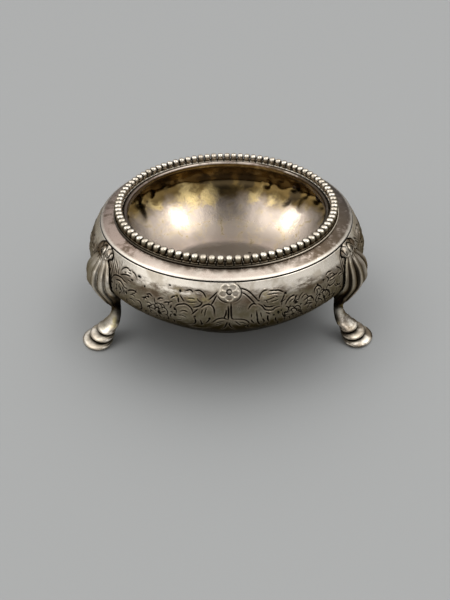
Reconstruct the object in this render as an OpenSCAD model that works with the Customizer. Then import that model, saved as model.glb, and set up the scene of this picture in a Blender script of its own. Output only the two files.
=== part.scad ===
// Open table salt: a raised round bowl with a beaded mouth, standing on three cast feet.
// Lengths are in millimetres and +Z is up. The origin is on the bowl's axis, on the table.
// The front, with a foot at each side of it, faces -Y.

/* [Bowl] */
// Diameter of the belly at its widest
belly_d = 71.6; // [68:0.2:76]
// Thickness of the raised sheet
wall = 0.9; // [0.6:0.05:1.2]
// Height of the flat underside above the table
underside_z = 3; // [1.5:0.1:4]
// Diameter at which the underside turns up into the side
base_d = 45; // [38:0.5:50]
// Height of that turn above the underside
base_rise = 1.6; // [1.2:0.1:2.4]
// Height of the widest ring above the turn
lower_h = 14.8; // [13:0.1:16]
// Height of the incised line above the widest ring
upper_h = 7.85; // [7:0.05:9]
// How far the incised line lies in from the widest ring
line_in = 3.45; // [2.8:0.05:4.2]
// Width of the incised line
line_w = 0.45; // [0.3:0.05:0.6]
// Depth of the incised line
line_depth = 0.3; // [0.2:0.05:0.4]
// Width of the plain shoulder from the incised line in to the seat of the wires
shoulder_w = 3.5; // [2.5:0.05:4.5]
// Rise of the shoulder from the incised line to the seat of the wires
shoulder_h = 1; // [0.6:0.05:1.4]
// Thickness of the rounded lip
lip_w = 1.15; // [0.9:0.05:1.4]
// Height of the lip above the seat of the wires
lip_h = 0.7; // [0.6:0.05:1]

/* [Beaded border] */
// Diameter of a bead
bead_d = 1.85; // [1.6:0.05:2.1]
// Least gap between neighbouring beads
bead_gap = 0.08; // [0.05:0.01:0.3]
// How deep a bead is joined into its strip
bead_sink = 0.12; // [0.08:0.01:0.3]
// Width of the strip that carries the beads
strip_w = 1.7; // [1.4:0.05:2.2]
// Height of the strip
strip_h = 0.7; // [0.5:0.05:1]
// Thickness of the plain wire outside the strip
wire_d = 0.4; // [0.3:0.05:0.6]
// Room left for solder between two soldered pieces
solder_gap = 0.1; // [0.08:0.01:0.15]

/* [Feet] */
// Height of the crest from the waist below it to its top
crest_h = 2.6; // [2.2:0.1:3.4]
// Width of the crest
crest_w = 7.6; // [5.5:0.1:9]
// How far the crest stands out of the belly
crest_proud = 1.3; // [1:0.1:2]
// How far the boss in the middle of the crest and the scrolls beside it swell out of the crest
boss_proud = 0.55; // [0.2:0.05:0.9]
// Width of the waist between crest and knuckle
waist_w = 5.4; // [4:0.1:6.5]
// How far the waist stands out of the belly
waist_proud = 1.2; // [0.9:0.1:1.8]
// Width of the knuckle
knuckle_w = 12.4; // [10:0.1:14]
// How far the knuckle stands out of the belly
knuckle_proud = 2.9; // [2:0.1:3.6]
// How far the knuckle's fullest part lies below the widest ring of the belly
knuckle_drop = 0.9; // [0:0.1:1.5]
// Number of flutes on the knuckle
flutes = 5; // [3:1:7]
// Depth of the flutes
flute_depth = 0.7; // [0.2:0.05:0.9]
// Height of the ankle above the table
ankle_z = 8.6; // [7.5:0.1:10]
// Width of the ankle
ankle_w = 2.8; // [2.4:0.1:4.5]
// Thickness of the ankle
ankle_t = 2.4; // [2:0.1:3.5]
// How far the inner face of the ankle lies in from the widest ring
ankle_in = 4.2; // [3.8:0.05:5.5]
// Number of stepped layers of the hoof
layers = 3; // [2:1:4]
// Height of the hoof's layers together
hoof_h = 3.9; // [3.5:0.1:5]
// Width of the hoof
hoof_w = 9.2; // [8:0.1:11]
// Length of the sole, from heel to toe
sole_l = 7.2; // [6.5:0.1:9]
// How far the middle of the sole lies out from the widest ring
sole_out = 3.2; // [2.5:0.1:4.5]
// How far each layer stands out of the one above it
step_out = 2.1; // [1.6:0.05:2.6]
// How much narrower each layer is, at each side, than the one below it
step_side = 0.75; // [0.4:0.05:0.9]

/* [Hidden] */

// Steps along each stretch of the bowl's outline
floor_steps = 8;
lower_steps = 16;
upper_steps = 10;
shoulder_steps = 6;
lip_steps = 8;
round_fn = 96;
bead_fn = 24;

// Heights
base_z = underside_z + base_rise;
belly_z = base_z + lower_h;
line_z = belly_z + upper_h;
seat_z = line_z + shoulder_h;
lip_z = seat_z + lip_h;

// Radii, from the belly in to the mouth
belly_r = belly_d / 2;
base_r = base_d / 2;
line_r = belly_r - line_in;
seat_r = line_r - shoulder_w;
wire_r = seat_r - solder_gap - wire_d / 2;
strip_r = wire_r - wire_d / 2 - solder_gap;
neck_r = strip_r - strip_w - solder_gap;
mouth_r = neck_r - lip_w;

// Row of beads
bead_r = strip_r - strip_w / 2;
bead_z = seat_z + strip_h - bead_sink + bead_d / 2;
bead_count = floor(2 * PI * bead_r / (bead_d + bead_gap));

function lerp(a, b, share) = a + (b - a) * share;
function bezier(p, s) =
    pow(1 - s, 3) * p[0] + 3 * s * pow(1 - s, 2) * p[1] + 3 * s * s * (1 - s) * p[2] + pow(s, 3) * p[3];
function stretch(p, steps) = [for (i = [0:steps - 1]) bezier(p, i / steps)];
function unit(v) = v / norm(v);

// Outline of the bowl's outside as [radius, height], from the axis to the seat of the wires
full_share = 0.77;
taper_share = [0.45, 0.345];
floor_share = 0.8;
brow_share = 0.4;
edge_share = [0.16, 0.135];
shoulder_low_share = [0.17, 0.5];
shoulder_high_share = [0.56, 0.75];

base_p = [base_r, base_z];
belly_p = [belly_r, belly_z];
line_p = [line_r, line_z];
seat_p = [seat_r, seat_z];
taper_p = [lerp(base_r, belly_r, taper_share[0]), lerp(base_z, belly_z, taper_share[1])];
taper = (taper_p[0] - base_r) / (taper_p[1] - base_z);
turn_p = [base_r - base_rise * taper, underside_z];

floor_curve = [[0, underside_z], [floor_share * base_r, underside_z], turn_p, base_p];
lower_curve = [base_p, taper_p, [belly_r, lerp(base_z, belly_z, full_share)], belly_p];
upper_curve = [
    belly_p,
    [belly_r, lerp(belly_z, line_z, brow_share)],
    [lerp(line_r, belly_r, edge_share[0]), lerp(line_z, belly_z, edge_share[1])],
    line_p
];
shoulder_curve = [
    line_p,
    [lerp(line_r, seat_r, shoulder_low_share[0]), lerp(line_z, seat_z, shoulder_low_share[1])],
    [lerp(line_r, seat_r, shoulder_high_share[0]), lerp(line_z, seat_z, shoulder_high_share[1])],
    seat_p
];

side = concat(stretch(lower_curve, lower_steps), stretch(upper_curve, upper_steps));
below_line = concat(stretch(floor_curve, floor_steps), side);
above_line = concat(stretch(shoulder_curve, shoulder_steps), [seat_p]);
outside = concat(below_line, above_line);

// The same outline moved in by the sheet's thickness, square to the surface
last = len(outside) - 1;
function along(i) = unit(outside[min(i + 1, last)] - outside[max(i - 1, 0)]);
function moved_in(i) = outside[i] + wall * [-along(i)[1], along(i)[0]];
inside = [for (i = [last:-1:1]) moved_in(i)];
floor_inside = [0, underside_z + wall];

// The incised line is a V cut at the corner between belly and shoulder
corner = len(below_line);
line_cut = [
    line_p - unit(line_p - outside[corner - 1]) * line_w / 2,
    line_p + line_depth * [-along(corner)[1], along(corner)[0]],
    line_p + unit(outside[corner + 1] - line_p) * line_w / 2
];

// The rounded lip, from its outer side to its inner side
lip_c = [neck_r - lip_w / 2, lip_z - lip_w / 2];
lip = [for (i = [0:lip_steps]) lip_c + lip_w / 2 * [cos(180 * i / lip_steps), sin(180 * i / lip_steps)]];

bowl_outline = concat(
    below_line, line_cut, [for (i = [1:len(above_line) - 1]) above_line[i]],
    [[neck_r, seat_z]], lip, [[mouth_r, seat_z - wall]], inside, [floor_inside]
);

// Radius of the belly's surface at a height, and of the feet's seat on it
side_table = [for (p = concat(side, [line_p])) [p[1], p[0]]];
function belly_at(z) = lookup(z, side_table);
function seat_at(z) = belly_at(z) + solder_gap;

// A foot is a stack of level rings. Each ring is
// [height, outer edge, inner edge, half width, share of the thickness at which it is widest,
// depth of the knuckle's flutes].
crest_z = line_z;
waist_z = crest_z - crest_h;
ankle_r = belly_r - ankle_in;
ankle_out_r = ankle_r + ankle_t;
knuckle_z = belly_z - knuckle_drop;
knuckle_r = belly_r + knuckle_proud;
sole_r = belly_r + sole_out;
toe_r = sole_r + sole_l / 2;
heel_r = sole_r - sole_l / 2;
on_belly_share = 0.12;
free_share = 0.5;

// Crest: share of its height down from the top, of its stand-out and of its half width
crest_share = [[0, 0.15, 0.3], [0.12, 0.55, 0.6], [0.35, 0.9, 0.88], [0.6, 0.9, 1], [0.82, 0.9, 0.92]];
crest_rings = [
    for (s = crest_share) let (z = crest_z - s[0] * crest_h)
    [z, belly_at(z) + s[1] * crest_proud, ankle_r, s[2] * crest_w / 2, on_belly_share, 0]
];
waist_rings = [[waist_z, belly_at(waist_z) + waist_proud, ankle_r, waist_w / 2, on_belly_share, 0]];

// The crest's boss and scrolls are soft ovals: shares of its half width across, of its height down,
// of the half width and of the height that they take up to each side, and of their stand-out
boss_share = [[0, 0.4, 0.3, 0.36, 1], [0.68, 0.5, 0.28, 0.4, 0.75], [-0.68, 0.5, 0.28, 0.4, 0.75]];
function oval(b, across, down) = max(0, 1 - pow((across - b[0]) / b[2], 2) - pow((down - b[1]) / b[3], 2));
function swelling(across, z, i = 0) =
    i == len(boss_share) ? 0
    : boss_proud * boss_share[i][4] * oval(boss_share[i], across * 2 / crest_w, (crest_z - z) / crest_h)
        + swelling(across, z, i + 1);

// Upper knuckle: share of the way down from the waist to the fullest ring, of the way out and across
brow_share_list = [[0.22, 0.34, 0.42], [0.5, 0.7, 0.76]];
brow_rings = [
    for (s = brow_share_list) let (z = lerp(waist_z, knuckle_z, s[0]))
    [z, belly_at(z) + lerp(waist_proud, knuckle_proud, s[1]), ankle_r,
     lerp(waist_w, knuckle_w, s[2]) / 2, on_belly_share, flute_depth * s[1]]
];
knuckle_rings = [[knuckle_z, knuckle_r, ankle_r, knuckle_w / 2, on_belly_share, flute_depth]];

// Lower knuckle: share of the way up from the ankle to the fullest ring, of the way out and across,
// the share of the thickness at which the ring is widest, and the share of the flutes' depth
calf_share = [
    [0.76, 0.86, 0.88, 0.14, 1],
    [0.52, 0.62, 0.6, 0.24, 1],
    [0.3, 0.36, 0.3, 0.38, 0.8],
    [0.13, 0.1, 0.08, 0.48, 0.4]
];
calf_rings = [
    for (s = calf_share) let (z = lerp(ankle_z, knuckle_z, s[0]))
    [z, lerp(ankle_out_r, knuckle_r, s[1]), ankle_r, lerp(ankle_w, knuckle_w, s[2]) / 2, s[3],
     flute_depth * s[4]]
];
ankle_rings = [[ankle_z, ankle_out_r, ankle_r, ankle_w / 2, free_share, 0]];

// Instep: share of the way down from the ankle to the hoof, of the way out, in and across
layer_h = hoof_h / layers;
top_toe_r = toe_r - (layers - 1) * step_out;
top_heel_share = 0.5;
top_heel_r = lerp(ankle_r, heel_r, top_heel_share);
top_w = hoof_w - 2 * (layers - 1) * step_side;
instep_share = [[0.35, 0, 0.1, 0], [0.6, 0.05, 0.26, 0.04], [0.8, 0.2, 0.5, 0.2], [0.93, 0.48, 0.76, 0.48]];
instep_rings = [
    for (s = instep_share)
    [lerp(ankle_z, hoof_h, s[0]), lerp(ankle_out_r, top_toe_r, s[1]), lerp(ankle_r, top_heel_r, s[2]),
     lerp(ankle_w, top_w, s[3]) / 2, free_share, 0]
];

// Hoof: each layer slopes out to a rounded edge and is undercut where the next one starts.
// The instep runs straight into the slope of the top layer.
layer_share = [[0.04, 0.75], [0.35, 0.3], [0.58, 0.03], [0.78, 0], [0.96, 0.2]];
hoof_rings = [
    for (k = [0:layers - 1], s = layer_share) if (k > 0 || s != layer_share[0])
    let (above = layers - 1 - k, back = s[1] * layer_h, down = (k + s[0]) / layers)
    [hoof_h * (1 - down), toe_r - above * step_out - back, lerp(top_heel_r, heel_r, down) + back / 2,
     hoof_w / 2 - above * step_side - back, free_share, 0]
];
sole_share = 0.33;
sole_in = sole_share * layer_h;
sole_rings = [[0, toe_r - sole_in, heel_r + sole_in, hoof_w / 2 - sole_in, free_share, 0]];

// The rings above the hoof are joined by a smooth curve, those of the hoof by straight lines
stations = concat(crest_rings, waist_rings, brow_rings, knuckle_rings, calf_rings, ankle_rings, instep_rings);
between = 2;
end = len(stations) - 1;
function through(i, s) =
    let (a = stations[max(i - 1, 0)], b = stations[i], c = stations[i + 1], d = stations[min(i + 2, end)])
    0.5 * (2 * b + (c - a) * s + (2 * a - 5 * b + 4 * c - d) * s * s + (3 * b - a - 3 * c + d) * pow(s, 3));
smooth_rings = [for (i = [0:end - 1], j = [0:between - 1]) through(i, j / between)];
rings = concat(smooth_rings, [stations[end]], hoof_rings, sole_rings);

// Points round a ring: the fluted outer side, then the inner side, which follows the belly
flute_steps = 6;
outer_steps = flutes * flute_steps;
inner_steps = 8;
function groove(ring, a) = ring[5] * (1 + cos(2 * flutes * a)) / 2 - swelling(ring[3] * sin(a), ring[0]);
function ring_points(ring) =
    let (
        seat = seat_at(ring[0]),
        half = ring[3] - groove(ring, 90),
        flank = max(ring[2], sqrt(seat * seat - half * half)),
        widest = lerp(flank, ring[1], ring[4]),
        deep = ring[1] - widest
    )
    concat(
        [for (i = [0:outer_steps])
            let (a = 180 * i / outer_steps - 90, in = groove(ring, a) * unit([ring[3] * cos(a), deep * sin(a)]))
            [widest + deep * cos(a) - in[0], ring[3] * sin(a) - in[1], ring[0]]],
        [for (i = [1:inner_steps - 1])
            let (a = 90 + 180 * i / inner_steps, across = half * sin(a))
            [max(widest + (widest - ring[2]) * cos(a), sqrt(seat * seat - across * across)),
             across, ring[0]]]
    );

around = outer_steps + inner_steps;
foot_points = [for (ring = rings) each ring_points(ring)];
foot_sides = [
    for (i = [0:len(rings) - 2], j = [0:around - 1])
    let (a = i * around + j, b = i * around + (j + 1) % around)
    each [[a, b, b + around], [a, b + around, a + around]]
];
foot_top = [for (j = [around - 1:-1:0]) j];
foot_sole = [for (j = [0:around - 1]) (len(rings) - 1) * around + j];

module ring_of(outline) {
    rotate_extrude($fn = round_fn) polygon(outline);
}

module cast_foot(azimuth) {
    rotate([0, 0, azimuth])
    polyhedron(points = foot_points, faces = concat(foot_sides, [foot_top, foot_sole]));
}

module bowl() {
    color([0.66, 0.62, 0.57]) ring_of(bowl_outline);
}

module seat_wire() {
    color([0.75, 0.73, 0.7])
    rotate_extrude($fn = round_fn)
    translate([wire_r, seat_z + solder_gap + wire_d / 2]) circle(d = wire_d, $fn = bead_fn);
}

module bead_border() {
    color([0.78, 0.76, 0.73]) {
        rotate_extrude($fn = round_fn) translate([strip_r - strip_w, seat_z]) square([strip_w, strip_h]);
        for (i = [0:bead_count - 1])
        rotate([0, 0, 360 * i / bead_count])
        translate([bead_r, 0, bead_z]) sphere(d = bead_d, $fn = bead_fn);
    }
}

module leg_front_left() {
    color([0.74, 0.71, 0.67]) cast_foot(210);
}

module leg_front_right() {
    color([0.74, 0.71, 0.67]) cast_foot(330);
}

module leg_back() {
    color([0.74, 0.71, 0.67]) cast_foot(90);
}

bowl();
seat_wire();
bead_border();
leg_front_left();
leg_front_right();
leg_back();
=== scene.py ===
from math import cos, pi, radians, sin, sqrt

import bmesh
import bpy
import numpy as np
from mathutils import Matrix, Vector


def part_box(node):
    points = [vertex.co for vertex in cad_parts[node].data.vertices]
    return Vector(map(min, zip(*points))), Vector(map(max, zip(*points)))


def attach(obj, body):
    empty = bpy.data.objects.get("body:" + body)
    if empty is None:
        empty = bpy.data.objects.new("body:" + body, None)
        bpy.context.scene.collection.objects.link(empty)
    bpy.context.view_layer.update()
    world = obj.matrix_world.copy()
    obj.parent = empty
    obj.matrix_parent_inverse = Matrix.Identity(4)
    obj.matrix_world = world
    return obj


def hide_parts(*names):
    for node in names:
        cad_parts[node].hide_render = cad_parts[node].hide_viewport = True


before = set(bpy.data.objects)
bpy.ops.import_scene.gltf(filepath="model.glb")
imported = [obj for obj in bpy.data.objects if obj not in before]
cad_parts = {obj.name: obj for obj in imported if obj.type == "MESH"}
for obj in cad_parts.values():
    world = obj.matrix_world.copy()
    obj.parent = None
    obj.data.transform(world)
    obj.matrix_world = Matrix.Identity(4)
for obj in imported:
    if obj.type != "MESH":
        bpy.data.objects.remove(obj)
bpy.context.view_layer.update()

# An open table salt: raised silver bowl with a gilt inside, beaded mouth and three cast feet.
# Lengths are in millimetres until a mesh is finished, and metres from there on.
# +Z is up, the origin is on the bowl's axis at the table, and the front faces -Y.
MM = 0.001

# Bowl: radii and heights from the underside over the belly and the incised line to the wires' seat
low, high = (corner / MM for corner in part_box("bowl"))
UNDERSIDE_Z = low.z
LIP_Z = high.z
WALL = 0.9
BELLY_R = 35.8
BASE_R = 22.5
BASE_RISE = 1.6
LOWER_H = 14.8
UPPER_H = 7.85
LINE_IN = 3.45
LINE_W = 0.45
LINE_DEPTH = 0.3
SHOULDER_W = 3.5
SHOULDER_H = 1
LIP_W = 1.15
BASE_Z = UNDERSIDE_Z + BASE_RISE
BELLY_Z = BASE_Z + LOWER_H
LINE_Z = BELLY_Z + UPPER_H
SEAT_Z = LINE_Z + SHOULDER_H
LINE_R = BELLY_R - LINE_IN
SEAT_R = LINE_R - SHOULDER_W

# Points that steer the bowl's outline, as shares of the way between its corners
FLOOR_SHARE = 0.8
TAPER_SHARE = (0.45, 0.345)
FULL_SHARE = 0.77
BROW_SHARE = 0.4
EDGE_SHARE = (0.16, 0.135)
SHOULDER_LOW_SHARE = (0.17, 0.5)
SHOULDER_HIGH_SHARE = (0.56, 0.75)

# Wires round the mouth, from the outer one in
SOLDER = 0.1
WIRE_D = 0.4
STRIP_W = 1.7
STRIP_H = 0.7
BEAD_D = 1.85
BEAD_GAP = 0.08
BEAD_SINK = 0.12
WIRE_R = SEAT_R - SOLDER - WIRE_D / 2
STRIP_R = WIRE_R - WIRE_D / 2 - SOLDER
NECK_R = STRIP_R - STRIP_W - SOLDER
MOUTH_R = NECK_R - LIP_W
BEAD_R = STRIP_R - STRIP_W / 2
BEAD_Z = SEAT_Z + STRIP_H - BEAD_SINK + BEAD_D / 2
BEAD_COUNT = int(2 * pi * BEAD_R / (BEAD_D + BEAD_GAP))

# Steps round the axis, of chased sheet, plain sheet and wires
FINE_STEPS = 1500
PLAIN_STEPS = 480
WIRE_STEPS = 360

# Points closer than this are joined
TOUCHING = 0.0005


def lerp(a, b, share):
    return a + (b - a) * share


def part_way(a, b, share):
    """A point on the way from a to b, by one share of it across and by another share up."""
    return lerp(a[0], b[0], share[0]), lerp(a[1], b[1], share[1])


def bezier(points, steps):
    """Points along a cubic curve, without its last one."""
    p = np.array(points, float)
    s = np.arange(steps)[:, None] / steps
    return (1 - s) ** 3 * p[0] + 3 * s * (1 - s) ** 2 * p[1] + 3 * s * s * (1 - s) * p[2] + s**3 * p[3]


def through(points, between):
    """A smooth curve through every one of the points."""
    p = np.array(points, float)
    ends = np.vstack([2 * p[0] - p[1], p, 2 * p[-1] - p[-2]])
    s = np.arange(between)[:, None] / between
    runs = [
        0.5 * (2 * b + (c - a) * s + (2 * a - 5 * b + 4 * c - d) * s**2 + (3 * b - a - 3 * c + d) * s**3)
        for a, b, c, d in zip(ends, ends[1:], ends[2:], ends[3:])
    ]
    return np.vstack(runs + [p[-1:]])


def moved_in(line, by):
    """A profile moved square to itself, towards the inside of the bowl."""
    way = np.gradient(line, axis=0)
    way /= np.linalg.norm(way, axis=1)[:, None]
    return line + by * np.stack([-way[:, 1], way[:, 0]], 1)


class Outline:
    """The bowl's outside as [radius, height], in stretches from the axis to the wires' seat."""

    def __init__(self, floor_steps, side_steps, shoulder_steps):
        base, belly = (BASE_R, BASE_Z), (BELLY_R, BELLY_Z)
        line, seat = (LINE_R, LINE_Z), (SEAT_R, SEAT_Z)
        taper_p = part_way(base, belly, TAPER_SHARE)
        taper = (taper_p[0] - BASE_R) / (taper_p[1] - BASE_Z)
        turn_p = (BASE_R - BASE_RISE * taper, UNDERSIDE_Z)
        full_p = (BELLY_R, lerp(BASE_Z, BELLY_Z, FULL_SHARE))
        brow_p = (BELLY_R, lerp(BELLY_Z, LINE_Z, BROW_SHARE))
        edge_p = part_way(line, belly, EDGE_SHARE)
        low_p = part_way(line, seat, SHOULDER_LOW_SHARE)
        high_p = part_way(line, seat, SHOULDER_HIGH_SHARE)
        floor_p = (FLOOR_SHARE * BASE_R, UNDERSIDE_Z)
        self.floor = bezier([(0, UNDERSIDE_Z), floor_p, turn_p, base], floor_steps)
        lower = bezier([base, taper_p, full_p, belly], side_steps)
        upper = bezier([belly, brow_p, edge_p, line], side_steps)
        self.side = np.vstack([lower, upper, [line]])
        self.shoulder = np.vstack([bezier([line, low_p, high_p, seat], shoulder_steps), [seat]])


def places(mesh):
    return np.array([v.co for v in mesh.verts])


def move(mesh, to):
    for vert, co in zip(mesh.verts, to):
        vert.co = co


def turned_round(radius, azimuth, height=0):
    """Places, or moves, by radius, azimuth and height."""
    return np.stack(np.broadcast_arrays(radius * np.cos(azimuth), radius * np.sin(azimuth), height), 1)


def spun(profile, steps, closed=True):
    """A profile of [radius, height] turned once round the bowl's axis: a grid rolled up along it."""
    rows = np.array([*profile, profile[0]] if closed else profile, float)
    mesh = bmesh.new()
    bmesh.ops.create_grid(mesh, x_segments=steps, y_segments=len(rows) - 1, size=1)
    at = (places(mesh) + 1) / 2
    row = rows[np.rint(at[:, 1] * (len(rows) - 1)).astype(int)]
    move(mesh, turned_round(row[:, 0], 2 * pi * at[:, 0], row[:, 1]))
    bmesh.ops.remove_doubles(mesh, verts=mesh.verts, dist=TOUCHING)
    bmesh.ops.recalc_face_normals(mesh, faces=mesh.faces)
    return mesh


def put(name, data):
    """Puts a mesh, a lamp or a camera into the scene."""
    made = bpy.data.objects.new(name, data)
    bpy.context.scene.collection.objects.link(made)
    return made


def put_mesh(name, mesh, *materials):
    data = bpy.data.meshes.new(name)
    mesh.to_mesh(data)
    mesh.free()
    for material in materials:
        data.materials.append(material)
    return put(name, data)


def piece(name, mesh, slot, node, *materials):
    """A finished mesh, in millimetres, becomes a piece of the object."""
    bmesh.ops.scale(mesh, vec=(MM, MM, MM), verts=mesh.verts)
    made = put_mesh(name, mesh, *materials)
    made.data.shade_smooth()
    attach(made, "root")
    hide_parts(node)
    return made


def mark(made, name, values):
    """Writes one number for each point of a piece, for its material to read."""
    attribute = made.data.attributes.new(name, "FLOAT", "POINT")
    attribute.data.foreach_set("value", np.asarray(values, np.float32))


# Chasing
# Its places are (across, down) in millimetres on one of three like panels between the feet:
# across from the panel's middle to the right, and down the belly from the incised line.
PANEL_MIDDLES = (270, 30, 150)
HALF_PANEL = 60


def around(middle, wide, high, turn):
    """The point at an angle, in degrees, on an oval."""
    return middle[0] + wide * cos(radians(turn)), middle[1] + high * sin(radians(turn))


def arc(middle, wide, high, start=0, end=360):
    """Points along an oval, about 18 degrees apart."""
    steps = max(4, int(abs(end - start) / 18))
    return [around(middle, wide, high, lerp(start, end, i / steps)) for i in range(steps + 1)]


def mirrored(lines):
    """Lines and their mirror images."""
    return lines + [[(-across, down) for across, down in line] for line in lines]


# Rosette: its middle, half width, half height and petals, and how far out their middles lie
ROSETTE = (0.4, 2.3)
ROSETTE_W = 2.4
ROSETTE_H = 1.85
PETALS = 5
PETAL_OUT = 0.62

rosette_eye = [arc((ROSETTE[0], ROSETTE[1] - 0.1), 0.24 * ROSETTE_W, 0.28 * ROSETTE_H)]
rosette_rings = [arc(ROSETTE, 1.2 * ROSETTE_W, 1.2 * ROSETTE_H, *ends) for ends in ((-60, 70), (95, 160))]

# Its petals: raised threads round hollows
rosette_threads, petal_pits = [], [(*ROSETTE, 0.3 * ROSETTE_W, 0.34 * ROSETTE_H)]
for k in range(PETALS):
    turn = 90 + 360 * k / PETALS
    middle = around(ROSETTE, PETAL_OUT * ROSETTE_W, PETAL_OUT * ROSETTE_H, turn)
    rosette_threads.append(arc(middle, 0.4 * ROSETTE_W, 0.4 * ROSETTE_H, turn - 150, turn + 150))
    petal_pits.append((*middle, 0.36 * ROSETTE_W, 0.36 * ROSETTE_H))

# Stems, and what hangs below the rosette
stem_lines = [
    [(2.8, 1.5), (3.9, 1.7), (5.1, 2.4), (6.2, 3.6), (7.1, 4.7)],
    [(3.1, 2.3), (4.2, 2.9), (5.3, 4.0), (6.3, 5.3)],
    [(-2.3, 2.1), (-3.3, 3.1), (-4.4, 4.1)],
    [(-2.5, 2.8), (-3.1, 4.1), (-3.7, 5.1)],
    [(0.8, 4.6), (0.75, 6.4), (0.85, 8.0), (1.2, 8.5)],
    [(0.15, 5.4), (0.15, 7.2), (0.1, 8.6)],
    [(-0.25, 6.2), (-0.5, 7.4), (-0.9, 8.2)],
    [(-0.1, 9.2), (-0.4, 10.6), (-0.9, 12.4), (-1.8, 14.0)],
    [(0.2, 9.4), (0.5, 11.0), (1.0, 12.6), (2.0, 14.2)],
]

# Leaves right of the rosette
right_lines = [
    [(-3.6, 9.6), (-2.6, 8.6), (-1.6, 8.2), (-0.8, 8.2), (0.1, 8.6)],
    [(-3.4, 11.2), (-2.8, 10.6), (-2.2, 10.0), (-1.4, 9.5)],
    [(1.1, 8.5), (2.3, 8.5), (3.5, 8.7), (4.4, 9.3), (4.9, 10.4)],
    [(1.7, 9.1), (2.4, 9.9), (3.0, 10.7)],
    [(4.6, 6.2), (5.2, 5.4), (5.9, 5.1), (6.5, 5.4)],
    [(6.4, 6.7), (6.5, 8.0), (6.7, 9.5), (7.1, 10.8), (7.7, 11.9)],
    [(7.8, 9.0), (8.3, 10.2), (8.1, 11.0)],
    [(5.2, 8.9), (5.5, 9.6), (5.9, 10.3)],
    [(7.2, 4.2), (7.6, 3.3), (8.4, 2.6), (9.4, 2.5)],
    [(9.8, 2.8), (11.0, 2.85), (12.3, 3.1), (13.3, 3.7)],
    [(13.4, 4.2), (12.7, 5.2), (12.1, 5.8)],
    [(8.1, 5.6), (8.6, 6.1), (9.5, 6.35), (10.6, 6.3)],
    [(6.9, 5.3), (7.8, 5.9), (8.4, 6.8), (9.2, 7.1), (10.1, 7.2), (10.8, 6.8), (12.2, 6.7)],
    [(8.7, 7.6), (9.5, 8.1)],
    [(9.0, 8.3), (9.0, 9.3), (9.4, 10.6)],
    [(10.9, 9.4), (11.0, 10.2), (11.5, 11.4)],
    [(13.3, 6.6), (13.7, 5.9), (14.6, 5.2), (15.8, 5.0)],
    [(16.4, 5.2), (15.9, 5.8), (15.2, 6.6)],
    [(13.4, 7.1), (13.9, 7.4), (14.0, 8.1)],
    [(14.2, 8.6), (15.1, 8.0), (15.9, 8.4), (16.4, 9.4)],
    [(16.5, 8.6), (16.9, 9.6), (17.9, 10.3)],
    [(18.0, 7.0), (19.0, 6.6), (19.9, 6.5), (20.5, 7.0), (20.8, 7.9)],
    [(18.0, 8.2), (19.3, 8.0), (20.4, 8.4)],
    [(21.1, 6.2), (21.4, 5.4), (22.4, 4.9), (23.2, 5.2), (23.6, 6.0)],
    [(21.3, 8.4), (21.7, 7.4), (22.6, 6.9)],
    [(23.3, 7.0), (24.3, 6.7), (25.2, 7.1), (25.9, 8.3)],
    [(24.0, 8.4), (24.4, 9.4), (25.1, 10.3)],
    [(25.7, 3.6), (26.8, 3.2), (27.9, 3.4)],
    [(25.8, 3.9), (26.3, 4.6), (25.6, 5.2)],
    [(26.5, 4.7), (28.2, 4.6), (29.9, 4.7)],
    [(30.2, 3.3), (31.1, 4.0), (31.5, 4.8)],
    [(29.8, 5.1), (31.5, 5.2)],
    [(25.6, 5.7), (26.3, 6.4), (27.6, 6.2), (28.3, 5.7)],
    [(28.1, 4.0), (28.7, 4.7)],
    [(28.6, 6.9), (29.4, 7.5), (30.2, 7.2)],
]

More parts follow.
